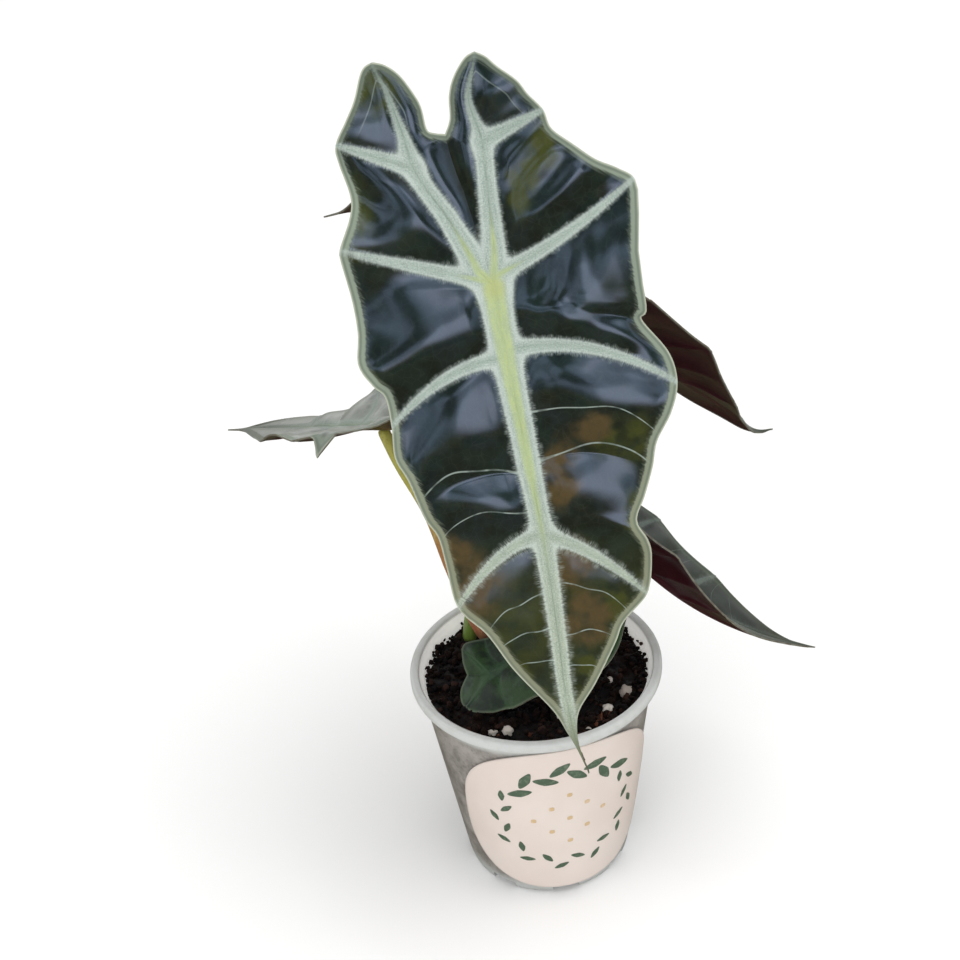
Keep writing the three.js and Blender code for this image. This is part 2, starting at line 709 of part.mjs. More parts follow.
function soil(holes) {
  const rim = innerRadius(SOIL_LEVEL) - SEAT;
  const bottom = FLOOR + SEAT;
  const profile = [
    [0, bottom],
    [innerRadius(bottom) - SEAT - BASE_ROUNDING, bottom],
    [innerRadius(bottom + BASE_ROUNDING) - SEAT, bottom + BASE_ROUNDING],
  ];
  for (let ring = SOIL_RINGS; ring >= 0; ring -= 1) {
    profile.push([rim * ring / SOIL_RINGS, SOIL_LEVEL]);
  }
  const geometry = turned(profile, POT_SIDES);
  const position = geometry.attributes.position;
  for (let i = 0; i < position.count; i += 1) {
    const [x, y, z] = [position.getX(i), position.getY(i), position.getZ(i)];
    if (z > SOIL_LEVEL - 1) {
      const height = z + SOIL_RELIEF * unevenness(x / SOIL_BUMP_WIDTH, y / SOIL_BUMP_WIDTH);
      const squeeze = Math.hypot(x, y) > rim * 0.99 ? (innerRadius(height) - SEAT) / rim : 1;
      position.setXYZ(i, x * squeeze, y * squeeze, height);
    }
  }
  let body = solidOf(geometry);
  for (let i = 0; i < CRUMB_COUNT; i += 1) {
    const radius = CRUMB_RADIUS[0] + (CRUMB_RADIUS[1] - CRUMB_RADIUS[0]) * hash(i, 3);
    const reach = (rim - radius - CRUMB_TO_WALL) * Math.sqrt(hash(i, 1));
    const angle = 2 * Math.PI * hash(i, 2);
    const crumb = new THREE.IcosahedronGeometry(radius, 0);
    crumb.rotateX(6 * hash(i, 4));
    crumb.rotateZ(6 * hash(i, 5));
    crumb.scale(...CRUMB_SHAPE);
    crumb.translate(reach * Math.cos(angle), reach * Math.sin(angle), SOIL_LEVEL);
    body = body.add(solidOf(crumb));
  }
  for (const hole of holes) {
    body = body.subtract(hole);
  }
  return geometryOf(largest(body));
}

// Assembly

const plant = new THREE.Group();
plant.add(named('pot', pot(), CLEAR_PLASTIC));
plant.add(named('label', label(), LABEL_PAPER));
plant.add(named('corm', geometryOf(corm(0, false)), CORM_SKIN));

const holes = [corm(SEAT, true)];
for (const leaf of LEAVES) {
  const curves = curvesOf(leaf.shape);
  const { matrix, face } = placing(leaf, curves);
  const sheet = bladeSheet(leaf, curves, matrix);
  const end = new THREE.Vector3(...leaf.junction).addScaledVector(face, -SEAT);
  const route = [...leaf.route, end.toArray()];
  const bladeRoom = roomFor(sheet, matrix);
  const stem = stalk(route, leaf.radii, 0).subtract(bladeRoom).subtract(corm(SEAT, false));
  const blade = thicken(sheet, BLADE_THICKNESS, 0);
  holes.push(stalk(route, leaf.radii, SEAT), bladeRoom);
  plant.add(named(`petiole_${leaf.name}`, geometryOf(largest(stem)), STALK));
  plant.add(named(`blade_${leaf.name}`, blade, leaf.material));
}
plant.add(named('soil', soil(holes), SOIL_MIX));

export default plant;
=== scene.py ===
import math

import bpy
import numpy as np
from bpy.props import FloatProperty, FloatVectorProperty, IntProperty, PointerProperty
from mathutils import Matrix, Vector, kdtree, noise


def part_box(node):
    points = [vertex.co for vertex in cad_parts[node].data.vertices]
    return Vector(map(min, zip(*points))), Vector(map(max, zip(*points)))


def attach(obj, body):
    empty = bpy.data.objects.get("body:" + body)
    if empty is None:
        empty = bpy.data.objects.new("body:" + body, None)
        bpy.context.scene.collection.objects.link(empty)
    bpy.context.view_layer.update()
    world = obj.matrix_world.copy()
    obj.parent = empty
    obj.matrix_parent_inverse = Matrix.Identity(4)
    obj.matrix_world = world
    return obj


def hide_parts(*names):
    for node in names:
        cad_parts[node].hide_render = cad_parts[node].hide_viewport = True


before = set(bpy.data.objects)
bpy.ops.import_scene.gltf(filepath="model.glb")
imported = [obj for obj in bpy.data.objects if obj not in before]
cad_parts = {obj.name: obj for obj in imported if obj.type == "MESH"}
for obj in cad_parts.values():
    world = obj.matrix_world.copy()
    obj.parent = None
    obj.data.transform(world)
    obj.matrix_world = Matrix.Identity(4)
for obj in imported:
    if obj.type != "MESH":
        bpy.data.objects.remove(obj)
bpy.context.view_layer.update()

bl_info = {
    "name": "Potted arrow-leaf plant",
    "version": (1, 0, 0),
    "blender": (4, 5, 0),
    "location": "View3D > Sidebar > Plant",
    "description": "Builds the finished leaves, stalks, cup, label, soil and stage of a small potted plant",
    "category": "Object",
}

MM = 0.001
# Clearance of a piece that is set in or on another, in mm
SEAT = 0.3
# The cup's outside, in mm: radius at the foot, how much wider it is at the neck, and the neck's height
CUP_FOOT, CUP_FLARE, NECK_HEIGHT = 20.3, 7.4, 53.5
# The cup's wall in mm, and the label's turn to the right in degrees
CUP_WALL, LABEL_TURN = 1.1, 10.3
# Where most stalks leave the soil, in mm
CROWN = (0.5, 9.5)

# Leaf shapes, flat and seen from above, with the stalk's joint at (0, 0) and the tip at low y.
# veins: (height where it leaves the midrib or rib, place on the margin, upward bow, strength)
# threads: (height on the midrib or rib, place on the margin, upward bow)
FRONT_SHAPE = dict(
    notch=(-6.6, 29.8), notch_row=26,
    midrib=[(10.7, -103.8), (8.3, -95), (7.1, -84), (6.6, -72), (5.3, -51), (3, -29.5), (1, -11.2), (0, 0)],
    right=dict(
        rib=[(0, 0), (0.7, 7.5), (0.5, 18), (0.2, 28.4), (-1.6, 36), (0.4, 44.3)],
        margin=[(10.7, -103.8), (9.3, -98.2), (8.9, -93.7), (9.8, -89.3), (13.6, -83.4), (18.3, -74.8),
            (20.4, -70.7), (25.7, -65.1), (27, -57.3), (26.3, -53), (24.4, -49), (26.6, -44), (28.5, -38.5),
            (29.6, -33), (32.6, -27.2), (34.2, -21.6), (33.1, -15.8), (28.3, -8.9), (29.2, -6.5), (28.3, 3.7),
            (29.1, 14.5), (28.6, 18.4), (25.5, 20.6), (21.3, 22.7), (17.1, 26), (13.6, 29), (12.3, 32.6),
            (9.6, 35.8), (7.8, 38.4), (4.4, 41.2), (2.4, 43.2), (0.4, 44.3)],
        veins=[(-103.8, 0, 0, 0), (-98, 1, 0, 0), (-90, 3, 0, 0), (-72, 5.3, 0, 0), (-50.5, 7, 2, 1),
            (-44.5, 10, 1, 0), (-36, 12, 3, 0.5), (-12.5, 15, 3.7, 1), (-4, 17, 1, 0), (0, 18.5, 0, 0),
            (2.2, 21, -1.3, 1), (27.8, 26, 0, 1), (44.3, 31, 0, 0)],
        inner=[(-6.6, 29.8), (-5.4, 32.5), (-5.1, 36.8), (-3.9, 40.2), (-1.6, 43.3), (0.4, 44.3)],
        threads=[(-72.5, 5.1, 1), (-79.5, 4.3, 0.8), (-25, 13.2, 2), (-60, 6.3, 0.8)],
    ),
    left=dict(
        rib=[(0, 0), (-2.8, 3.5), (-7.6, 14), (-12.7, 22.8), (-14.8, 31), (-17, 39), (-19.1, 44.1)],
        margin=[(10.7, -103.8), (8.6, -98), (6.8, -94), (4.4, -89), (-0.5, -82.5), (-3.7, -77.8), (-8, -70.2),
            (-13.3, -64), (-14.8, -55.5), (-15.9, -48.9), (-18.1, -44.4), (-20.5, -36.5), (-22.7, -31.7),
            (-22.8, -25.5), (-23.4, -19.3), (-25.4, -16.6), (-27.8, -12.2), (-27.3, -6.5), (-27.7, 0), (-28.8, 7),
            (-28.9, 10), (-26.4, 15.8), (-25.8, 20), (-27.3, 26.5), (-27.4, 29.8), (-25, 34), (-23.1, 37.5),
            (-21.6, 41.7), (-20.5, 43.4), (-19.1, 44.1)],
        veins=[(-103.8, 0, 0, 0), (-98, 1, 0, 0), (-90, 3, 0, 0), (-72, 5.6, 0, 0), (-50.5, 7, 2.9, 1),
            (-38, 10.4, 2.6, 0.5), (-14, 13, 3.2, 1), (-6, 16, 1, 0), (0, 18.5, 0, 0), (1.2, 20, 0, 1),
            (24, 24, 0, 1), (44.1, 29, 0, 0)],
        inner=[(-6.6, 29.8), (-8.5, 30.1), (-10, 31), (-10.7, 35.2), (-12.1, 38.2), (-14.2, 41.4), (-16.7, 43.4),
            (-19.1, 44.1)],
        threads=[(-70, 5.5, 0.3), (-77.8, 4.8, 0.5), (-46, 8.8, 2.2), (-62, 6, 0.4)],
    ),
)

YOUNG_SHAPE = dict(
    notch=(3, 4.8), notch_row=1.8, midrib=[(0, -38.7), (0, -20), (0, 0)],
    right=dict(
        rib=[(0, 0), (4.5, 1.5), (9.9, 3.2)],
        margin=[(0, -38.7), (4.5, -31), (6.4, -21), (6.8, -14), (7.2, -8), (9, -3), (10.6, 1.6), (9.9, 3.2)],
        veins=[(-38.7, 0, 0, 0), (-18, 3, 0, 1), (-3, 5, 1, 1), (0, 6, 0, 0), (3.2, 7, 0, 0)],
        inner=[(3, 4.8), (6.5, 4.4), (9.9, 3.2)], threads=[(-26, 2, 1), (-10, 4, 1)],
    ),
    left=dict(
        rib=[(0, 0), (-2.6, 4.4), (-4.5, 8.6)],
        margin=[(0, -38.7), (-5, -34.2), (-10.7, -29.4), (-14.3, -24), (-15.4, -18.5), (-14.2, -13), (-12.1, -8),
            (-11.6, -2.1), (-10.2, 0.6), (-9.1, 3.7), (-6.6, 7.3), (-4.5, 8.6)],
        veins=[(-38.7, 0, 0, 0), (-18, 4.5, 1, 1), (-3, 7.5, 1, 1), (0, 8.5, 0, 0), (1.8, 9.5, 0, 0),
            (8.6, 11, 0, 0)],
        inner=[(3, 4.8), (0.5, 7.7), (-2.4, 8.9), (-4.5, 8.6)], threads=[(-26, 3, 1), (-10, 6, 1)],
    ),
)


def even_shape(width):
    """The shape that the side and back leaves share, 100 from joint to tip."""
    def side(hand):
        def wide(*points):
            return [(hand * width * x, y) for x, y in points]
        return dict(
            rib=wide((0, 0), (3, 10), (6.5, 22), (9.5, 34), (12.5, 45)),
            margin=wide(
                (0, -100), (0.9, -95), (1.7, -90), (4.5, -83), (9.5, -74), (15, -64), (19.5, -55), (22, -45),
                (25, -34), (28.5, -22), (28.5, -10), (28, 2), (27.5, 14), (25.5, 24), (21.5, 33), (17, 40),
                (12.5, 45)),
            veins=[
                (-100, 0, 0, 0), (-95, 1, 0, 0), (-86, 3, 0, 0), (-72, 4.6, 0, 0), (-42, 6, 2, 1),
                (-26, 7.6, 1, 0.5), (-12, 9, 3, 1), (0, 10.5, 0, 0), (2, 12, -1, 1), (26, 14, 0, 1),
                (45, 16, 0, 0)],
            inner=wide((0, 27), (3, 32), (7, 40), (12.5, 45)),
            threads=[(-66, 5, 1), (-55, 5.6, 1), (-34, 7, 1), (-5, 10, 0.5)],
        )
    return dict(notch=(0, 27), notch_row=24, midrib=[(0, -100), (0, -50), (0, 0)], right=side(1), left=side(-1))


# Where each leaf stands. junction, tip and roll: its joint and tip in mm, and its face's turn. folds, bends,
# twist, quilt and wave: its form. olive and brown: its patches, the brown ones painted sheen and the olive ones
# partly the leaf's own tone and partly painted warm reflection. curls: local pulls. route and radii: its stalk.
LEAVES = dict(
    front=dict(
        shape=FRONT_SHAPE, junction=(-2.7, -10, 158.9), tip=(8.1, -43, 60), roll=17.2,
        folds=dict(left=(4, 4, 4), right=(4, 4, 4)), bends=(0, 0), twist=0, quilt=1.8, wave=(1.2, 1.3, 0.4),
        olive=[(-20, 39, 6, 5), (12, 26, 3, 5), (9, 22, 2.5, 5), (6, 18, 2.5, 5), (-26, 16, 4, 8),
            (-26, -19, 4, 7), (24, -32, 7, 5), (24, -47, 3, 4), (19, -67, 4, 6), (-3, -80, 5, 4),
            (13, -80, 4, 5)],
        brown=[(-10, -60, 6, 7), (-13, -53, 4, 4), (11, -57, 4, 5), (13, -69, 5, 6), (10, -38, 4, 7),
            (17, -29, 4, 3), (-24, -25, 3, 4)],
        route=[(3.4, 6.6, 49), (4.6, 8, 70), (3.4, 8, 100), (0.4, 5, 130), (-1.8, 1.5, 146), (-2.6, -3, 154.5)],
        radii=(2, 1.3),
    ),
    left=dict(
        shape=even_shape(0.686), junction=(-29.7, 10, 118.7), tip=(-72.6, 59, 94.1), roll=-17.5,
        folds=dict(left=(-21.6, 1.5, -40.3), right=(36.9, 18.7, 77)), bends=(0, 0.002), twist=-2.8, quilt=1.8,
        wave=(4.6, 0.78, 5.82), curls=[(20.5, -5, 2.3, 1.5, -9, -7.5)],
        route=[(-4.5, 9.8, 49), (-8.5, 8.8, 55), (-12, 8, 61), (-14.4, 7.6, 68), (-17.7, 7.5, 80.7),
            (-21.4, 8.2, 96.2), (-26.7, 9.3, 109.4)],
        radii=(2, 1.4),
    ),
    right_lower=dict(
        shape=even_shape(0.86), junction=(18.4, 6, 90.7), tip=(66.9, -0.9, 53.1), roll=-18.4,
        folds=dict(left=(21, 36, 1.4), right=(21, 36, 1.4)), bends=(-0.008, 0.002), twist=-16.3, quilt=1.8,
        wave=(0.7, 1, 0.1), route=[(5.2, 10.6, 49), (8.6, 11.2, 62), (12.6, 9.8, 75), (16.8, 7.2, 85.5)],
        radii=(2, 1.2),
    ),
    right_upper=dict(
        shape=even_shape(0.98), junction=(24.6, 26, 129.2), tip=(66.2, 46.6, 85.8), roll=-11.3,
        folds=dict(left=(-35.2, 19.4, 15.1), right=(-35.2, 19.4, 15.1)), bends=(-0.0019, 0.002), twist=-1.1,
        quilt=1.8, wave=(0.6, 1.1, 0.4), curls=[(0, -88, 11, 0, 0, -2.8), (0, -101, 5, 0, 0, 1.4)],
        route=[(0.5, 14.3, 49), (2.2, 19.5, 75), (7.5, 26, 103), (20.2, 27.4, 122)], radii=(2, 1.2),
    ),
    back=dict(
        shape=even_shape(0.9), junction=(1.1, 32, 159.2), tip=(-40.8, 66, 146.7), roll=23,
        folds=dict(left=(10, 16, 12), right=(10, 16, 12)), bends=(0.003, 0.002), twist=6, quilt=1.8,
        wave=(1.4, 1.2, 1.1),
        route=[(-15.8, 16.4, 45), (-14.8, 17, 56), (-11.8, 19, 67), (-5.5, 23.5, 100), (-1.4, 28, 132),
            (0.8, 31, 153)],
        radii=(1.8, 1.2),
    ),
    young=dict(
        shape=YOUNG_SHAPE, junction=(-11.1, -5.4, 58.3), tip=(24.5, 3.6, 70.3), roll=17.1,
        folds=dict(left=(6, 4, 0), right=(6, 4, 0)), bends=(0.004, 0.01), twist=0, quilt=0.8,
        wave=(0.5, 2, 0.6), route=[(-1.4, 5.6, 49.5), (-3.4, 3.4, 53.6), (-7, -0.8, 56)], radii=(1.5, 0.9),
    ),
)


def linear(code):
    """A colour written as six hex digits, in the linear values that nodes take."""
    parts = [int(code[i:i + 2], 16) / 255 for i in (0, 2, 4)]
    return tuple(p / 12.92 if p <= 0.04045 else ((p + 0.055) / 1.055) ** 2.4 for p in parts)


def colour_setting(name, description, code):
    return FloatVectorProperty(name=name, description=description, subtype="COLOR", size=3, min=0, max=1,
                               default=linear(code))


def glow_setting(name, description, light):
    return FloatVectorProperty(name=name, description=description, subtype="COLOR", size=3, min=0, soft_max=4,
                               default=light)


def size_setting(name, description, value):
    return FloatProperty(name=name, description=description, default=value, min=0, unit="LENGTH", precision=4)


class LeafSettings(bpy.types.PropertyGroup):
    thickness: size_setting("Thickness", "Blade thickness away from its edge", 0.6 * MM)
    edge_thickness: size_setting("Edge thickness", "Blade thickness at its edge", 0.38 * MM)
    ridge: size_setting("Ridge", "How far the midrib stands out of the underside", 0.9 * MM)
    face: colour_setting("Face", "Dark upper face between the veins", "0e1611")
    # Olive is partly the leaf's own tone and partly painted warm reflection; brown is painted sheen
    olive: colour_setting("Olive", "Olive patches in the upper face", "3c4018")
    brown: colour_setting("Brown", "Brown patches in the upper face", "4e4026")
    vein: colour_setting("Vein", "Hairy pale veins", "a9b7b0")
    core: colour_setting("Vein core", "Yellow-green middle of the veins near the joint", "b4c282")
    margin: colour_setting("Margin", "Pale band along the edge", "8c9788")
    underside: colour_setting("Underside", "Maroon underside", "2e0710")
    young_face: colour_setting("Young face", "Upper face of the young leaf", "233f1c")
    young_vein: colour_setting("Young vein", "Faint veins of the young leaf", "3a5a3c")


class StalkSettings(bpy.types.PropertyGroup):
    foot: colour_setting("Foot", "Pinkish brown foot", "8a5a4c")
    middle: colour_setting("Middle", "Orange-brown middle", "a3683f")
    top: colour_setting("Top", "Olive-yellow top", "a7a34c")
    green: colour_setting("Green stalk", "Stalk of the back leaf and of the young leaf", "6f8a3c")


class PotSettings(bpy.types.PropertyGroup):
    height: size_setting("Height", "Height of the cup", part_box("pot")[1][2])
    lip_radius: size_setting("Lip radius", "Outer radius of the lip", 30 * MM)
    neck_radius: size_setting("Neck radius", "Outer radius just under the lip", (CUP_FOOT + CUP_FLARE) * MM)
    base_radius: size_setting("Base radius", "Outer radius at the bottom", CUP_FOOT * MM)
    lip_depth: size_setting("Lip depth", "Height of the lip band", 2.7 * MM)
    wall: size_setting("Wall", "Thickness of the cup's wall", CUP_WALL * MM)
    plastic: colour_setting("Plastic", "Frosted clear plastic", "cdd0ce")


class LabelSettings(bpy.types.PropertyGroup):
    width: size_setting("Width", "Width along the cup", 52.5 * MM)
    height: size_setting("Height", "Height up the cup", 50.4 * MM)
    middle: size_setting("Middle", "Height of the label's middle", 27.8 * MM)
    paper: colour_setting("Paper", "Blush label face", "e3d5cc")
    leaf: colour_setting("Printed leaf", "Dark green of the printed wreath", "4f6450")
    gold: colour_setting("Printed gold", "Pale gold of the printed dots", "d3b78c")


class SoilSettings(bpy.types.PropertyGroup):
    level: size_setting("Level", "Mean height of the soil", 52.4 * MM)
    crumbs: IntProperty(name="Crumbs", description="How many loose crumbs lie on the soil", default=900, min=0)
    dark: colour_setting("Dark", "Moist dark soil", "070403")
    brown: colour_setting("Brown", "Drier brown fibres", "170c07")
    grain: colour_setting("Grain", "White perlite grains", "b5aca4")
    bark: colour_setting("Bark", "Reddish bark chips", "44261a")


class StageSettings(bpy.types.PropertyGroup):
    floor: colour_setting("Floor", "Plain pale floor", "fdfdfc")
    haze: glow_setting("Haze", "Cool light that the leaves mirror round the windows", (1.1, 1.45, 2.1))
    window: glow_setting("Windows", "Light of the cool windows that the leaves mirror", (3.1, 3.8, 5.2))
    warm: glow_setting("Warm", "Warm light that the leaves mirror from low down", (0.3, 0.25, 0.1))
    panel_power: FloatProperty(name="Panel power", description="Power of the front panel", default=2.6, min=0,
                               unit="POWER")
    top_power: FloatProperty(name="Top light", description="Strength of the broad light from above", default=1.5,
                             min=0)


# Curves and leaf surfaces

def clamp(values):
    return np.clip(values, 0, 1)


def lengths(vectors):
    return np.linalg.norm(vectors, axis=-1)


def headings(points):
    """The direction of a curve at each of its points."""
    steps = np.gradient(points, axis=0)
    return steps / lengths(steps)[:, None]


def distances(points):
    """How far along a curve each of its points lies."""
    return np.concatenate([[0], np.cumsum(lengths(np.diff(points, axis=0)))])


def between(a, b, leave, arrive, t):
    """Points from a to b on the cubic that leaves and arrives with these slopes."""
    cubic = 2 * a - 2 * b + leave + arrive
    square = 3 * b - 3 * a - 2 * leave - arrive
    return ((cubic * t + square) * t + leave) * t + a


def spline(points, place):
    """Points at real indices `place` of the smooth curve through points."""
    points = np.asarray(points, float)
    last = len(points) - 1
    place = np.clip(np.asarray(place, float), 0, last)
    i = np.minimum(place.astype(int), last - 1)
    before, a, b, after = points[np.maximum(i - 1, 0)], points[i], points[i + 1], points[np.minimum(i + 2, last)]
    return between(a, b, (b - before) / 2, (after - a) / 2, (place - i)[:, None])


def at_height(points, y):
    """Points of a curve that climbs steadily in y, at heights y."""
    found = spline(points, np.interp(y, [p[1] for p in points], range(len(points))))
    found[:, 1] = y
    return found


def unevenness(x, y):
    """Smooth unevenness from -1 to 1 with bumps about one unit wide."""
    def chance(i, j):
        value = np.sin(i * 127.1 + j * 311.7) * 43758.5453
        return value - np.floor(value)
    i, j = np.floor(x), np.floor(y)
    u, v = ((a - b) ** 2 * (3 - 2 * (a - b)) for a, b in ((x, i), (y, j)))
    near, far = (chance(i, row) * (1 - u) + chance(i + 1, row) * u for row in (j, j + 1))
    return 2 * (near * (1 - v) + far * v) - 1


def ripple(x, y, size, seed):
    """Even smoother unevenness, for glossy faces."""
    found = [noise.noise(Vector((a / size, b / size, seed))) for a, b in zip(x.ravel(), y.ravel())]
    return np.array(found).reshape(x.shape)


def form(leaf, x, y, h):
    """Folds, twists and bends the flat blade: flat places (x, y) at height h above the face."""
    shape = leaf["shape"]
    notch = shape["notch"]
    axis = at_height(shape["midrib"] + [notch, (notch[0] * 1.5, notch[1] * 1.5)], y.ravel())[:, 0].reshape(y.shape)
    length = -shape["midrib"][0][1]
    lobe = shape["right"]["rib"][-1][1]
    left, right = (np.interp(y, [-length, -length / 5, lobe], leaf["folds"][hand]) for hand in ("left", "right"))
    fold = np.radians(np.where(x < axis, left, right))
    across = (x - axis) * np.cos(fold)
    rise = np.abs(x - axis) * np.sin(fold) + h
    turn = np.radians(leaf["twist"]) * y / 100
    side = across * np.cos(turn) - rise * np.sin(turn)
    lift = across * np.sin(turn) + rise * np.cos(turn)
    curvature = np.where(y < 0, *leaf["bends"]) + 1e-9
    angle = curvature * y
    return np.stack([axis + side, np.sin(angle) / curvature + lift * np.sin(angle),
                     (np.cos(angle) - 1) / curvature + lift * np.cos(angle)], -1)


def unit(v):
    return v / np.linalg.norm(v)


def placing(leaf):
    """Turning matrix, size and face direction that bring the formed blade to its joint and tip."""
    tip_x, tip_y = leaf["shape"]["midrib"][0]
    tip = form(leaf, np.array([float(tip_x)]), np.array([float(tip_y)]), np.zeros(1))[0]
    up = np.array([0.0, 0.0, 1.0])
    line = unit(tip)
    flat_face = unit(up - line * line[2])
    local = np.stack([np.cross(flat_face, line), line, flat_face])
    reach = np.array(leaf["tip"], float) - np.array(leaf["junction"], float)
    aim = unit(reach)
    level = unit(up - aim * aim[2])
    roll = math.radians(leaf["roll"])
    face = math.cos(roll) * level + math.sin(roll) * np.cross(aim, level)
    world = np.stack([np.cross(face, aim), aim, face])
    return local.T @ world, np.linalg.norm(reach) / np.linalg.norm(tip), face


# Modelling steps

def clear_selection():
    if bpy.context.object and bpy.context.object.mode != "OBJECT":
        bpy.ops.object.mode_set(mode="OBJECT")
    bpy.ops.object.select_all(action="DESELECT")


def choose(*objects):
    clear_selection()
    for one in objects:
        one.select_set(True)
    bpy.context.view_layer.objects.active = objects[0]


def added(primitive, name=None, **settings):
    """The object that a step such as bpy.ops.mesh.primitive_cube_add makes, selected alone."""
    clear_selection()
    primitive(**settings)
    obj = bpy.context.object
    if name:
        obj.name = obj.data.name = name
    return obj


def in_edit(obj, step, **settings):
    """Runs one edit-mode step on all of obj."""
    choose(obj)
    bpy.ops.object.mode_set(mode="EDIT")
    bpy.ops.mesh.select_all(action="SELECT")
    step(**settings)
    bpy.ops.object.mode_set(mode="OBJECT")


def apply(obj, kind, **settings):
    """Adds a modifier with these settings and applies it."""
    choose(obj)
    modifier = obj.modifiers.new(kind.title(), kind)
    for key, value in settings.items():
        setattr(modifier, key, value)
    bpy.ops.object.modifier_apply(modifier=modifier.name)


def mark(obj, name, values):
    """Writes one number for each point as an attribute that the materials read."""
    attribute = obj.data.attributes.new(name, "FLOAT", "POINT")
    attribute.data.foreach_set("value", np.ascontiguousarray(values, float).ravel())


def read(obj, name):
    values = np.empty(len(obj.data.vertices))
    obj.data.attributes[name].data.foreach_get("value", values)
    return values


def places_of(obj):
    co = np.empty(len(obj.data.vertices) * 3)
    obj.data.vertices.foreach_get("co", co)
    return co.reshape(-1, 3)


def put_places(obj, co):
    obj.data.vertices.foreach_set("co", np.ascontiguousarray(co, float).ravel())
    obj.data.update()


def patch(places, **marks):
    """A grid primitive whose points lie at `places` (rows, columns, xyz in metres), with these marks."""
    rows, columns = places.shape[:2]
    sheet = added(bpy.ops.mesh.primitive_grid_add, x_subdivisions=columns - 1, y_subdivisions=rows - 1, size=1)
    put_places(sheet, places)
    for name, values in marks.items():
        mark(sheet, name, values)
    return sheet


def merge(name, parts, gap):
    """Joins patches into one piece and merges the points where they meet."""
    choose(*parts)
    bpy.ops.object.join()
    whole = bpy.context.object
    whole.name = whole.data.name = name
    in_edit(whole, bpy.ops.mesh.remove_doubles, threshold=gap)
    return whole


def finish_piece(obj, node, slot, *materials, angle=40):
    """Materials, smooth shading and the frame's bookkeeping of a finished piece."""
    for one in materials:
        obj.data.materials.append(one)
    choose(obj)
    bpy.ops.object.shade_smooth_by_angle(angle=math.radians(angle))
    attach(obj, "root")
    if node:
        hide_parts(node)
    return obj


# Veins. Half widths are those of a leaf 104 long. A glow is how far a vein's yellow core reaches, in mm, and
# a core is its width as a share of the vein's.

VEIN_SCALE = 104
MIDRIB_WIDTH = ([-105, -98, -90, -76, -55, -30, -6, 0], [0.4, 0.9, 1.4, 1.75, 2.1, 2.6, 3.2, 3.3])
RIB_WIDTH = ([0, 0.35, 0.6, 0.7, 0.88, 0.95, 1], [2.6, 2.0, 1.7, 1.1, 0.45, 0.1, 0])
LATERAL_WIDTH = ([0, 0.12, 0.5, 0.85, 1], [2.1, 1.6, 1.25, 0.68, 0.28])
THREAD_WIDTH = ([0, 0.1, 0.25, 1], [0.5, 0.2, 0.1, 0.075])
MIDRIB_GLOW, RIB_GLOW, LATERAL_GLOW = 64, 17, 9
MIDRIB_CORE, VEIN_CORE = 0.66, 0.36
THREAD_STRENGTH, BROAD_THREAD = 0.2, 0.5
NO_THREAD = 30.0
# A blade's low relief, in mm: how high veins, waves, the swirls' finer waves and pleats stand, how wide the
# waves are, and the middle and size of the swirled and the pleated spot of the right lobe
VEIN_RISE, WAVE_RISE, FINE_RISE, PLEAT_RISE = 0.22, 0.5, 0.4, 0.28
WAVE_SIZE, FINE_SIZE = 11, 4.2
SWIRL_SPOT, PLEAT_SPOT = (15, 1, 120 ** 0.5, 120 ** 0.5), (12, 24, 130 ** 0.5, 130 ** 0.5)
# How far from its edge a blade comes to its full thickness, and its ridge to its full height, in mm
EDGE_REACH, RIDGE_REACH = 3, 4
# How fine the grids of the front leaf, of the side leaves and of the young leaf are, in mm
FRONT_GRAIN, SIDE_GRAIN, YOUNG_GRAIN = 0.54, 0.45, 0.35


def vein_lines(leaf, young):
    """(points, half widths, strong, reach of its yellow core, side) of each vein, in the flat blade's units."""
    shape = leaf["shape"]
    length = -shape["midrib"][0][1]
    scale = length / VEIN_SCALE
    shares = np.linspace(0, 1, 130)
    ys = -length * (1 - shares)
    widths = np.interp(ys / scale, *MIDRIB_WIDTH) * scale
    lines = [(at_height(shape["midrib"], ys), widths, True, MIDRIB_GLOW, 0)]
    for hand, side in ((-1, shape["left"]), (1, shape["right"])):
        rib = at_height(side["rib"], shares * side["rib"][-1][1])
        lines.append((rib, np.interp(shares, *RIB_WIDTH) * scale, True, RIB_GLOW, hand))
        rows = [row for row in side["veins"] if row[3]] + [(*row, THREAD_STRENGTH) for row in side["threads"]]
        for number, (y, end, bow, strength) in enumerate(sorted(rows)):
            root = at_height(shape["midrib"] if y <= 0 else side["rib"], np.array([float(y)]))
            tip = spline(side["margin"], np.array([float(end)]))
            points = root + (tip - root) * shares[:, None]
            points[:, 1] += bow * 4 * shares * (1 - shares)
            strong = strength == 1
            if not strong:
                wander = np.sin(shares * (8 + 3 * (number % 3)) + 2.1 * number)
                hook = 0.75 * np.linalg.norm(tip - root) * shares ** 2.5
                points[:, 1] += (0.9 * wander * shares + hook) * (1 - shares)
            width = np.interp(shares, *(LATERAL_WIDTH if strong else THREAD_WIDTH)) * scale
            width = width * (1.5 if strength == BROAD_THREAD else 1)
            lines.append((points, width, strong and not young, LATERAL_GLOW, hand))
    return lines


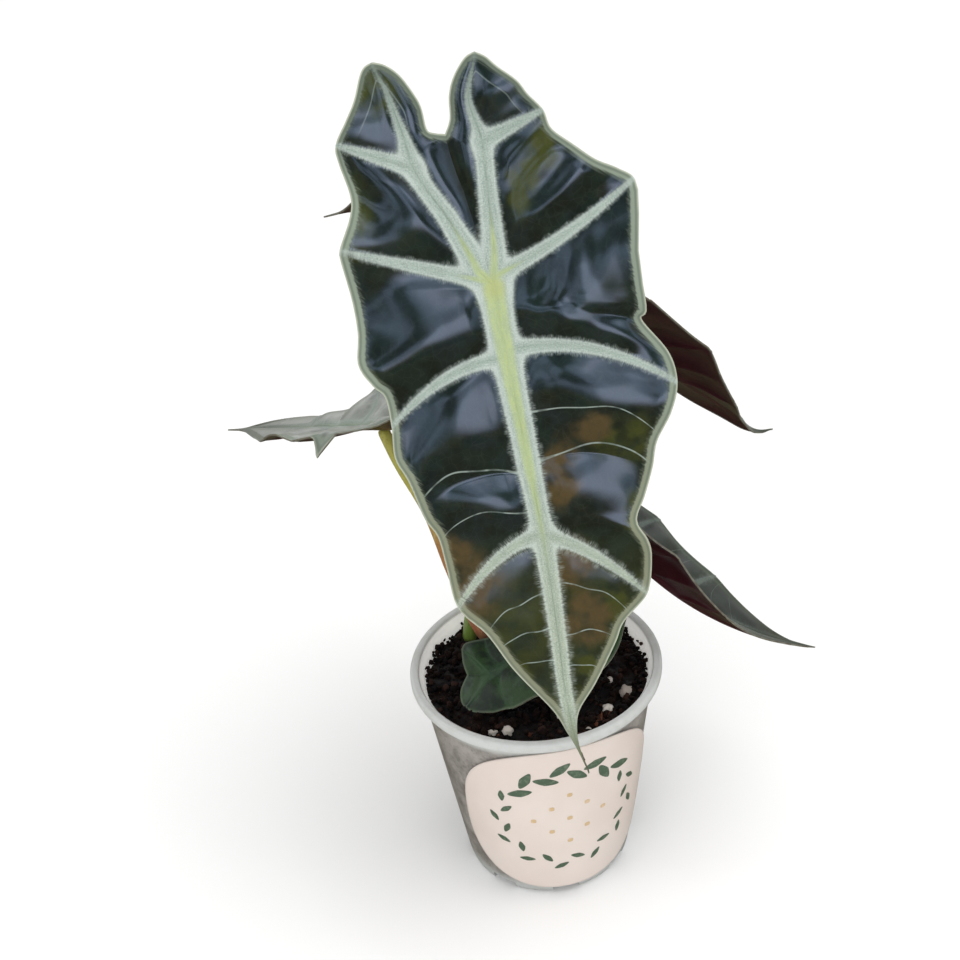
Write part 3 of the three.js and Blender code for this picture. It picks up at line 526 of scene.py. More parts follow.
def vein_marks(flat, lines, size, hand):
    """For flat points: distance past the edge of the nearest vein, place along and across it, its yellow core,
    and the distance from the nearest thread in its own half widths, whose sign changes at each thread."""
    points = flat.reshape(-1, 2)
    soft = 0.8 / size
    blend, along, core = (np.zeros(len(points)) for _ in range(3))
    nearest, centre, thread_away = (np.full(len(points), 1e9) for _ in range(3))
    thread = np.full(len(points), NO_THREAD)
    turn = 1
    joint = np.hypot(*points.T) * size
    for number, (line, widths, strong, glow, side) in enumerate(lines):
        which = lengths(points[:, None, :] - line[None, :, :]).argmin(1)
        offset, tangent = points - line[which], headings(line)[which]
        forward = (offset * tangent).sum(1)
        sideways = offset[:, 1] * tangent[:, 0] - offset[:, 0] * tangent[:, 1]
        ending = (which == 0) | (which == len(line) - 1)
        distance = np.where(ending, np.hypot(*offset.T), np.abs(sideways))
        if strong:
            past = distance - widths[which]
            blend += np.exp(-np.clip(past, -8, 60) / soft)
            near = past < nearest
            nearest = np.where(near, past, nearest)
            # Each vein lies elsewhere in the hairs' noise, so that no two look alike
            along = np.where(near, distances(line)[which] + forward + 37 * number + 500 * (hand + 1), along)
            share = distance / np.maximum(widths[which], 0.3)
            centre = np.where(near, share, centre)
            reach = clamp(1 - joint / glow)
            wide = (MIDRIB_CORE if glow == MIDRIB_GLOW else VEIN_CORE) * (0.35 + 0.65 * reach)
            core = np.maximum(core, clamp((wide - share) / 0.42 + 0.5) * clamp(2.2 * reach))
        elif side == hand:
            turn = -turn
            thread = np.where(distance < thread_away, turn * np.sign(sideways) * distance / widths[which], thread)
            thread_away = np.minimum(thread_away, distance)
    vein = np.minimum(-soft * np.log(blend + 1e-30), nearest)
    marks = {"vein": vein * size, "along": along * size, "centre": centre, "core": core, "thread": thread}
    return {name: values.reshape(flat.shape[:-1]) for name, values in marks.items()}


def margin_tree(shape):
    """Search tree of the blade's edge in flat units."""
    runs = [shape[hand][key] for hand in ("left", "right") for key in ("margin", "inner")]
    points = np.concatenate([spline(run, np.linspace(0, len(run) - 1, 24 * len(run))) for run in runs])
    tree = kdtree.KDTree(len(points))
    for i, (x, y) in enumerate(points):
        tree.insert((x, y, 0), i)
    tree.balance()
    return tree


def rows_between(low, high, step):
    count = max(2, int(math.ceil((high - low) / step)))
    return np.linspace(low, high, count + 1)


def spread(spine, edge, step, least):
    """Flat rows of points from the spine to the edge, their shares of the way, and the rows' widths."""
    width = lengths(edge - spine)[:, None]
    s = np.linspace(0, 1, max(least, int(np.ceil(width.max() / step))) + 1)[None, :]
    return spine[:, None, :] * (1 - s[..., None]) + edge[:, None, :] * s[..., None], s, width


def bell(x, y, middle_x, middle_y, wide, high):
    """A soft spot, 1 in its middle."""
    return np.exp(-((x - middle_x) / wide) ** 2 - ((y - middle_y) / high) ** 2)


def blade_patches(leaf, size, matrix, grain, young):
    """The four patches of a blade: outer and inner, left and right, as grids `grain` mm fine."""
    shape = leaf["shape"]
    length = -shape["midrib"][0][1]
    step = grain / size
    lines = vein_lines(leaf, young)
    edge = margin_tree(shape)
    height, rate, phase = leaf["wave"]
    patches = []

    def build(flat, h, hand, turned):
        x, y = flat[..., 0], flat[..., 1]
        marks = vein_marks(flat, lines, size, hand)
        away = np.array([edge.find((a, b, 0))[2] for a, b in flat.reshape(-1, 2)]).reshape(x.shape)
        marks.update(margin=away * size, joint=np.hypot(x, y) * size, flat_x=x * size, flat_y=y * size,
                     reach=-y / length)
        for tint in ("olive", "brown"):
            marks[tint] = np.zeros(x.shape)
            for spot in leaf.get(tint, []):
                marks[tint] = np.maximum(marks[tint], bell(x, y, *spot))
        calm = clamp(marks["vein"] / 2.5) * clamp(marks["margin"] / EDGE_REACH)
        fine_rise = 0.02 + FINE_RISE * bell(x * size, y * size, *SWIRL_SPOT)
        pleats = PLEAT_RISE * bell(x * size, y * size, *PLEAT_SPOT) * np.sin((0.74 * y - 0.68 * x) * size * 0.75)
        relief = WAVE_RISE * ripple(x, y, WAVE_SIZE / size, 3 + hand) + pleats
        relief = relief + fine_rise * ripple(x, y, FINE_SIZE / size, 9)
        h = h + (calm * relief + VEIN_RISE * clamp(1 - marks["centre"] / 1.25)) / size
        for across, up, wide, *pulls in leaf.get("curls", []):
            pull = bell(flat[..., 0], flat[..., 1], across, up, wide, wide)
            x, y, h = (value + pull * move for value, move in zip((x, y, h), pulls))
        places = (np.array(leaf["junction"]) + size * (form(leaf, x, y, h) @ matrix)) * MM
        if turned:
            places = places[:, ::-1]
            marks = {name: values[:, ::-1] for name, values in marks.items()}
        patches.append(patch(places, **marks))

    for hand, side in ((-1, shape["left"]), (1, shape["right"])):
        veins = np.array(side["veins"], float)
        lobe, row = side["rib"][-1][1], shape["notch_row"]
        real = [vein[0] for i, vein in enumerate(veins) if vein[3] > 0 or i in (0, len(veins) - 1)]
        ys = np.concatenate([rows_between(-length, 0, step)[:-1], rows_between(0, row, step)[:-1],
                             rows_between(row, lobe, step)])
        spine = np.where((ys <= 0)[:, None], at_height(shape["midrib"], np.minimum(ys, 0)),
                         at_height(side["rib"], np.maximum(ys, 0)))
        ends, bows = (np.interp(ys, veins[:, 0], veins[:, column])[:, None] for column in (1, 2))
        flat, s, width = spread(spine, spline(side["margin"], ends[:, 0]), step, 1)
        flat[..., 1] += bows * 4 * s * (1 - s)
        cell = np.clip(np.searchsorted(real, ys, side="right") - 1, 0, len(real) - 2)
        low, high = np.take(real, cell), np.take(real, cell + 1)
        turn = clamp((ys - low) / (high - low))[:, None]
        swell = np.sin(np.pi * turn) ** 0.9 * np.sin(np.pi * s ** 0.8)
        swing = s ** 3 * np.sin(ends * rate + phase + (0 if hand < 0 else 1.7))
        h = leaf["quilt"] * np.minimum(width / 25, 1) * swell + height * np.minimum(width / 20, 1) * swing
        build(flat, h, hand, hand < 0)

        ys, spine = ys[ys >= 0], spine[ys >= 0]
        inner = spline(side["inner"], np.interp(ys, [row, lobe], [0, len(side["inner"]) - 1]))
        middle = np.where((ys < row)[:, None], np.array(shape["notch"]) * (ys / row)[:, None], inner)
        flat, s, width = spread(spine, middle, step, 6)
        build(flat, 0.6 * leaf["quilt"] * np.minimum(width / 10, 1) * np.sin(np.pi * s), hand, hand > 0)
    return patches


def make_blade(name, settings, materials, grain, young=False):
    """One blade: its sheet, its thickness that thins to the edge, and the ridge of its midrib below."""
    leaf = LEAVES[name]
    matrix, size, _ = placing(leaf)
    blade = merge(f"leaf_{name}", blade_patches(leaf, size, matrix, grain, young), 0.025 * MM)
    # The modifier keeps the points in order and adds their copies for the underside after them
    middle = np.tile(places_of(blade), (2, 1))
    below = np.arange(len(middle)) >= len(middle) // 2
    for one in materials:
        blade.data.materials.append(one)
    apply(blade, "SOLIDIFY", thickness=settings.thickness, offset=0, use_rim=True, material_offset=1,
          material_offset_rim=2)
    offset = places_of(blade) - middle
    margin = read(blade, "margin")
    thin = settings.edge_thickness / settings.thickness
    offset *= (thin + (1 - thin) * clamp(margin / EDGE_REACH))[:, None]
    centre = clamp(1 - read(blade, "centre") / 1.1)
    ridge = settings.ridge * centre * clamp(margin / RIDGE_REACH) * (0.5 if young else size)
    away = offset / np.maximum(lengths(offset), 1e-9)[:, None]
    put_places(blade, middle + offset + away * (ridge * below)[:, None])
    return finish_piece(blade, f"blade_{name}", "young_blade" if young else "blade", angle=50)


# Stalks

STALK_SIDES, STALK_RINGS = 28, 110
# How much of a stalk narrows to its end in the blade, in mm
STALK_END = 1.6


def route_points(points, count):
    """Evenly spaced points of the stalk's smooth curve through its route, and its length."""
    points = np.array(points, float)
    padded = np.concatenate([[2 * points[0] - points[1]], points, [2 * points[-1] - points[-2]]])
    fine = []
    for i in range(1, len(padded) - 2):
        a, b, c, d = padded[i - 1:i + 3]
        first, second, third = (np.linalg.norm(q - p) ** 0.5 for p, q in ((a, b), (b, c), (c, d)))
        leave = second * ((b - a) / first - (c - a) / (first + second) + (c - b) / second)
        arrive = second * ((c - b) / second - (d - b) / (second + third) + (d - c) / third)
        t = np.linspace(0, 1, 40, endpoint=i == len(padded) - 3)[:, None]
        fine.append(between(b, c, leave, arrive, t))
    fine = np.concatenate(fine)
    run = distances(fine)
    wanted = np.linspace(0, run[-1], count)
    return np.stack([np.interp(wanted, run, fine[:, k]) for k in range(3)], -1), run[-1]


def make_stalk(name, material):
    """One stalk: a tapering tube with a fluted foot, whose end narrows into the blade."""
    leaf = LEAVES[name]
    face = placing(leaf)[2]
    thick, thin = leaf["radii"]
    end = np.array(leaf["junction"], float) - face * SEAT
    path, length = route_points([*leaf["route"], tuple(end)], STALK_RINGS)
    tangents = headings(path)
    normal = unit(np.cross(tangents[0], [0.3, 1, 0.2]))
    turn = np.linspace(0, 2 * np.pi, STALK_SIDES + 1)
    rings = [np.repeat(path[:1], STALK_SIDES + 1, 0)]
    for i, (point, tangent) in enumerate(zip(path, tangents)):
        normal = unit(normal - tangent * (normal @ tangent))
        other = np.cross(tangent, normal)
        share = i / (STALK_RINGS - 1)
        radius = thin + (thick - thin) * (1 - share) ** 2
        left = min((1 - share) * length / STALK_END, 1)
        radius *= math.sqrt(1 - (1 - left) ** 2) * 0.75 + 0.25
        flute = 1 + 0.05 * np.cos(3 * turn + 1) + 0.04 * (1 - share) * np.cos(turn * 5 + share * 4)
        rings.append(point + (radius * flute * np.cos(turn))[:, None] * normal
                     + (radius * flute * np.sin(turn))[:, None] * other)
    rings.append(np.repeat(path[-1:], STALK_SIDES + 1, 0))
    shares = clamp((np.arange(len(rings)) - 1) / (STALK_RINGS - 1))[:, None] + 0 * turn
    sheet = patch(np.array(rings) * MM, share=shares, along=shares * length)
    stalk = merge(f"stalk_{name}", [sheet], 0.01 * MM)
    in_edit(stalk, bpy.ops.mesh.normals_make_consistent, inside=False)
    return finish_piece(stalk, f"petiole_{name}", "petiole", material, angle=60)


# Cup and label

# The notches in the cup's bottom edge: how many, the first one's turn in degrees, and the cut block in mm
NOTCHES, FIRST_NOTCH, NOTCH_SIZE = 8, -37.5, (6.5, 3.6, 4.6)
# In how many steps each round body is spun
CUP_STEPS, SOIL_STEPS, CORM_STEPS = 160, 170, 72
# How far the label and its print stand off the cup, in mm
LABEL_OFF, PRINT_OFF = SEAT + 0.1, SEAT + 0.37
# The thickness of the cup's floor, and the rounding of its foot and lip
FLOOR, CORNER = 1.4 * MM, 0.9 * MM


def turned(name, profile, steps):
    """A closed body spun round the upright axis from (radius, height) pairs in metres."""
    body = added(bpy.ops.mesh.primitive_circle_add, name, vertices=len(profile), radius=1, fill_type="NOTHING")
    put_places(body, np.array([(r, 0, z) for r, z in profile]))
    in_edit(body, bpy.ops.mesh.spin, steps=steps, angle=2 * math.pi, center=(0, 0, 0), axis=(0, 0, 1))
    in_edit(body, bpy.ops.mesh.remove_doubles, threshold=0.002 * MM)
    on_axis = np.hypot(*places_of(body)[:, :2].T) < 1e-7
    axis_edges = [e.index for e in body.data.edges if all(on_axis[v] for v in e.vertices)]
    if axis_edges:
        choose(body)
        bpy.ops.object.mode_set(mode="EDIT")
        bpy.ops.mesh.select_mode(type="EDGE")
        bpy.ops.mesh.select_all(action="DESELECT")
        bpy.ops.object.mode_set(mode="OBJECT")
        for index in axis_edges:
            body.data.edges[index].select = True
        bpy.ops.object.mode_set(mode="EDIT")
        bpy.ops.mesh.delete(type="EDGE_FACE")
        bpy.ops.mesh.select_mode(type="VERT")
        bpy.ops.object.mode_set(mode="OBJECT")
    in_edit(body, bpy.ops.mesh.normals_make_consistent, inside=False)
    return body


def polar(radius, angle):
    return radius * math.cos(angle), radius * math.sin(angle)


def arc(centre_r, centre_z, radius, start, end, count):
    """Points of a round corner in a profile, from one angle to another in degrees."""
    corner = (polar(radius, angle) for angle in np.radians(np.linspace(start, end, count)))
    return [(centre_r + r, centre_z + z) for r, z in corner]


def outer_radius(z):
    """The cup's outer radius at height z, in mm."""
    return CUP_FOOT + CUP_FLARE * z / NECK_HEIGHT


def make_pot(settings, material):
    """The cup: a spun wall with a rolled lip, then eight notches cut through its bottom edge."""
    base, wall, top = settings.base_radius, settings.wall, settings.height
    lip = settings.lip_radius - CORNER
    under = top - settings.lip_depth
    slope = (settings.neck_radius - base) / (NECK_HEIGHT * MM)

    def outer(z):
        return base + slope * z

    profile = [(0, 0), (base * 0.5, 0)]
    profile += arc(base - CORNER, CORNER, CORNER, -90, 0, 8)
    profile += [(outer(z), z) for z in np.linspace(1.6 * MM, under - 0.5 * MM, 24)]
    profile += [(outer(under), under - 0.1 * MM), (outer(under) + 0.15 * MM, under)]
    profile += arc(lip, under + CORNER, CORNER, -90, 0, 7) + arc(lip, top - CORNER, CORNER, 0, 90, 9)
    profile += arc(outer(top) - wall + 1.5 * MM, top - 0.7 * MM, 0.7 * MM, 90, 180, 7)
    profile += [(outer(under) - wall + 0.35 * MM, under + 0.6 * MM)]
    profile += [(outer(z) - wall, z) for z in np.linspace(under - 0.6 * MM, FLOOR + 1.2 * MM, 16)]
    profile += arc(outer(FLOOR) - wall - 1.0 * MM, FLOOR + 1.0 * MM, 1.0 * MM, 0, -90, 6)
    profile += [(base * 0.4, FLOOR), (0, FLOOR)]
    cup = turned("cup", profile, CUP_STEPS)
    cutters = []
    for i in range(NOTCHES):
        block = added(bpy.ops.mesh.primitive_cube_add, size=1)
        turn = Matrix.Rotation(math.radians(FIRST_NOTCH + 360 / NOTCHES * i), 3, "Z")
        places = places_of(block) * np.array(NOTCH_SIZE) * MM - np.array([0, CUP_FOOT * MM, 0])
        put_places(block, places @ np.array(turn).T)
        apply(block, "BEVEL", width=0.5 * MM, segments=3, limit_method="NONE")
        cutters.append(block)
    choose(*cutters)
    bpy.ops.object.join()
    cutter = bpy.context.object
    apply(cup, "BOOLEAN", object=cutter, operation="DIFFERENCE", solver="EXACT")
    bpy.data.objects.remove(cutter)
    return finish_piece(cup, "pot", "clear_plastic", material, angle=35)


def on_cup(across, z, proud):
    """Places on the cup's outside: arc length from the label's middle and height in mm, both arrays."""
    radius = outer_radius(z)
    angle = math.radians(LABEL_TURN) + across / radius
    radius = radius + proud
    return np.stack([radius * np.sin(angle), -radius * np.cos(angle), z + 0 * angle], -1)[:, ::-1] * MM


def make_label(settings, paper):
    """The label: a sheet in a rounded outline bent round the cup, with a softened edge."""
    def rounded(value):
        return np.sign(value) * np.abs(value) ** (2 / 2.6)
    turn = np.linspace(0, 2 * np.pi, 161)[None, :]
    share = np.linspace(0, 1, 30)[:, None]
    across = share * rounded(np.cos(turn)) * settings.width / MM / 2
    z = settings.middle / MM + share * rounded(np.sin(turn)) * settings.height / MM / 2
    label = merge("label_film", [patch(on_cup(across, z, LABEL_OFF), share=share + 0 * turn)], 0.01 * MM)
    apply(label, "SOLIDIFY", thickness=0.25 * MM, offset=1, use_rim=True)
    return finish_piece(label, "label", "label", paper)


def printed(name, ovals, ink):
    """A thin printed layer of pointed ovals, each (x, y, turn, length, width) in mm on the label."""
    t = np.append(np.linspace(0, 2 * np.pi, 25)[:-1], 0)
    share = np.array([0, 0.5, 1])[:, None]
    parts = []
    for x, y, turn, length, width in ovals:
        a = length / 2 * np.cos(t)
        b = width / 2 * np.sin(t) * (1 - 0.35 * np.abs(np.cos(t)))
        c, s = math.cos(turn), math.sin(turn)
        across, z = x + (a * c - b * s) * share, y + (a * s + b * c) * share
        parts.append(patch(on_cup(across, z, PRINT_OFF)))
    layer = merge(name, parts, 0.005 * MM)
    apply(layer, "SOLIDIFY", thickness=0.03 * MM, offset=1, use_rim=True)
    return finish_piece(layer, None, "label", ink)


# Soil

def rough_noise(points, scale, *settings):
    """Fractal unevenness at each of the points."""
    return np.array([noise.fractal(Vector(p) / scale, *settings) for p in points])


def soil_height(x, y, level):
    """Height of the soil's surface in mm."""
    return level + 0.75 * unevenness(x / 2.6, y / 2.6)


def soil_radius(z):
    """The soil's outer radius at height z, in mm."""
    return outer_radius(z) - CUP_WALL - SEAT


def make_soil(settings, material):
    """The soil: a spun body whose top and side are roughened."""
    level = settings.level / MM
    bottom, crown_reach = 1.7, 8
    profile = [(0, bottom)] + [(r, bottom) for r in np.linspace(2, outer_radius(bottom) - 2.4, 8)]
    profile += [(soil_radius(z), z) for z in np.linspace(bottom + 1, level - 1, 44)]
    profile += [(soil_radius(level) * r, level) for r in np.linspace(1, 0.02, 64)] + [(0, level)]
    body = turned("soil_bed", [(r * MM, z * MM) for r, z in profile], SOIL_STEPS)
    co = places_of(body) / MM
    top = co[:, 2] > level - 0.5
    x, y = co[:, 0], co[:, 1]
    fine = rough_noise(co, 1.5, 0.9, 2.2, 4)
    pit = np.hypot(x - CROWN[0], y - CROWN[1])
    side = ~top & (co[:, 2] > bottom + 0.1)
    co[top, 2] = soil_height(x[top], y[top], level) + 0.55 * fine[top] - 0.15
    co[top, 2] -= 0.9 * np.maximum(1 - pit[top] / crown_reach, 0)
    co[side, :2] *= (1 - 0.025 * clamp(fine[side] + 0.2))[:, None]
    put_places(body, co * MM)
    return finish_piece(body, "soil", "soil", material, angle=180)


def lump(detail, rough, seed, stretch=(1, 1, 1)):
    """One irregular grain as (points, triangles), from a roughened sphere primitive."""
    ball = added(bpy.ops.mesh.primitive_ico_sphere_add, subdivisions=detail, radius=1)
    co = places_of(ball)
    swell = np.array([1 + rough * noise.fractal(Vector(p) * 1.3 + Vector((seed, 0, 0)), 0.8, 2.1, 3) for p in co])
    triangles = np.array([tuple(p.vertices) for p in ball.data.polygons])
    bpy.data.objects.remove(ball)
    return co * swell[:, None] * np.array(stretch), triangles


def scatter(name, models, spots, chance, material):
    """Copies of the models at spots of (x, y, z, size) in mm, each turned at random, as one piece."""
    points, triangles, tints, start = [], [], [], 0
    for *place, size in spots:
        co, faces = models[chance.integers(len(models))]
        turn = Matrix.Rotation(chance.uniform(0, 6.28), 3, Vector(chance.normal(size=3)).normalized())
        points.append((co @ np.array(turn) * size + np.array(place)) * MM)
        triangles.append(faces + start)
        tints.append(np.full(len(co), chance.uniform()))
        start += len(co)
    mesh = bpy.data.meshes.new(name)
    mesh.from_pydata(np.concatenate(points).tolist(), [], np.concatenate(triangles).tolist())
    piece = bpy.data.objects.new(name, mesh)
    bpy.context.scene.collection.objects.link(piece)
    mark(piece, "tint", np.concatenate(tints))
    return finish_piece(piece, None, "soil", material, angle=180)


def make_corm(material):
    """The corm: a spun tuber with leaf-scar rings and an uneven skin."""
    profile = spline([(0, 38), (3.6, 38.8), (6.2, 42.5), (7.6, 47), (7.3, 50.4), (5, 52.4), (0, 53.2)],
                     np.linspace(0, 6, 60))
    profile[:, 0] = np.maximum(profile[:, 0], 0)
    profile[0, 0] = profile[-1, 0] = 0
    corm = turned("corm_tuber", [(r * MM, z * MM) for r, z in profile], CORM_STEPS)
    co = places_of(corm) / MM
    rough = rough_noise(co, 2.2, 0.9, 2.1, 3)
    scale = 1 + 0.025 * rough + 0.012 * np.sin(co[:, 2] * 3.6)
    co[:, :2] = co[:, :2] * scale[:, None] + np.array(CROWN)
    put_places(corm, co * MM)
    mark(corm, "tint", 0.4 + 0.5 * rough)
    return finish_piece(corm, "corm", "corm", material, angle=180)


# Materials

class Tree:
    """Short ways to lay out the nodes of one shader group or world."""

    def __init__(self, tree):
        self.tree = tree
        tree.nodes.clear()

    def put(self, socket, value):
        """Links a socket to another, or gives it a number, a vector or a colour."""
        if isinstance(value, bpy.types.NodeSocket):
            self.tree.links.new(value, socket)
            return
        if isinstance(value, str):
            value = linear(value)
        if socket.type == "RGBA" and len(value) == 3:
            value = (*value, 1)
        socket.default_value = value

    def add(self, kind, inputs, output=0, **settings):
        node = self.tree.nodes.new(kind)
        for key, value in settings.items():
            setattr(node, key, value)
        for key, value in inputs.items():
            self.put(node.inputs[key], value)
        return node.outputs[output]

    def end(self, kind, surface):
        self.put(self.tree.nodes.new(kind).inputs["Surface"], surface)

    def attributes(self, names):
        return [self.add("ShaderNodeAttribute", {}, "Fac", attribute_name=name) for name in names.split()]

    def place(self):
        return self.add("ShaderNodeTexCoord", {}, "Object")

    def part(self, vector, axis):
        return self.add("ShaderNodeSeparateXYZ", {0: vector}, axis)

    def vector(self, x, y, z=0):
        return self.add("ShaderNodeCombineXYZ", {0: x, 1: y, 2: z})

    def scaled(self, vector, scale):
        return self.add("ShaderNodeMapping", {"Vector": vector, "Scale": scale})

    def math(self, operation, first, *others):
        """One operation on all the values, from the left."""
        if not others:
            return self.add("ShaderNodeMath", {0: first}, operation=operation)
        for other in others:
            first = self.add("ShaderNodeMath", {0: first, 1: other}, operation=operation)
        return first

    def sum(self, *values):
        return self.math("ADD", *values)

    def times(self, *values):
        return self.math("MULTIPLY", *values)

    def most(self, *values):
        return self.math("MAXIMUM", *values)

    def span(self, value, low, high, to_low=0, to_high=1):
        """Soft step from to_low at low to to_high at high."""
        return self.add("ShaderNodeMapRange", {0: value, 1: low, 2: high, 3: to_low, 4: to_high},
                        interpolation_type="SMOOTHSTEP")

    def noise(self, vector, scale, detail=2, rough=0.5):
        return self.add("ShaderNodeTexNoise",
                        {"Vector": vector, "Scale": scale, "Detail": detail, "Roughness": rough}, "Fac")

    def cells(self, vector, scale, feature="F1"):
        return self.add("ShaderNodeTexVoronoi", {"Vector": vector, "Scale": scale}, "Distance", feature=feature)

    def mix(self, share, a, b):
        return self.add("ShaderNodeMix", {0: share, 6: a, 7: b}, 2, data_type="RGBA")

    def paint(self, colour, *coats):
        """The colour under coats of (mask, colour)."""
        for mask, coat in coats:
            colour = self.mix(mask, colour, coat)
        return colour

    def bump(self, height, strength, distance):
        return self.add("ShaderNodeBump", {"Height": height, "Strength": strength, "Distance": distance})

    def group(self, name, inputs):
        return self.add("ShaderNodeGroup", inputs, "Mask", node_tree=bpy.data.node_groups[name])

    def patches(self, x, y, size, low, high, z=0):
        return self.group("Patches", {"X": x, "Y": y, "Z": z, "Size": size, "Low": low, "High": high})

    def hairy(self, past, along, width, length, soft):
        return self.group("Hairy edge", {"Past edge": past, "Along": along, "Hair width": width,
                                         "Hair length": length, "Softness": soft})


class Skin(Tree):
    """The nodes of a new material."""

    def __init__(self, name):
        self.made = bpy.data.materials.new(name)
        self.made.use_nodes = True
        super().__init__(self.made.node_tree)

    def shaded(self, inputs):
        """The material, whose Principled shader takes these inputs."""
        self.end("ShaderNodeOutputMaterial", self.add("ShaderNodeBsdfPrincipled", inputs))
        return self.made


def new_group(name, inputs):
    """An empty shader group with a mask as its output: its tree, the sockets that feed it, and the mask's."""
    group = bpy.data.node_groups.new(name, "ShaderNodeTree")
    for title, value in inputs.items():
        group.interface.new_socket(title, in_out="INPUT", socket_type="NodeSocketFloat").default_value = value
    group.interface.new_socket("Mask", in_out="OUTPUT", socket_type="NodeSocketFloat")
    t = Tree(group)
    return t, group.nodes.new("NodeGroupInput").outputs, group.nodes.new("NodeGroupOutput").inputs[0]


def build_groups():
    """The effects that several materials share."""
    if "Hairy edge" in bpy.data.node_groups:
        return
    t, given, mask = new_group("Hairy edge", {"Past edge": 0, "Along": 0, "Hair width": 0.25, "Hair length": 0.9,
                                              "Softness": 0.2})
    past, along, width, length, soft = (given[i] for i in range(5))
    combed = t.times(along, t.math("DIVIDE", 1, width))
    hair = t.noise(t.vector(combed, t.times(past, 0.45)), 0.4, 4, 0.78)
    edge = t.sum(past, t.times(t.sum(hair, -0.5), length, -2))
    tuft = t.noise(t.vector(t.times(along, 0.7), t.times(past, 0.3), 9), 1)
    ragged = t.sum(past, t.times(t.sum(tuft, -0.5), length, -2.4))
    fine = t.span(t.noise(t.vector(t.times(combed, 1.8), t.times(past, 0.6), 4), 1), 0.4, 0.62, 0.15)
    far = t.span(ragged, t.times(length, 1.3), 0)
    t.put(mask, t.most(t.span(edge, soft, t.times(soft, -1)), t.times(fine, far, 0.4)))

    t, given, mask = new_group("Patches", {"X": 0, "Y": 0, "Z": 0, "Size": 5, "Low": 0.4, "High": 0.6})
    cloud = t.noise(t.vector(*(given[i] for i in range(3))), t.math("DIVIDE", 1, given["Size"]), 3, 0.55)
    t.put(mask, t.span(cloud, given["Low"], given["High"]))


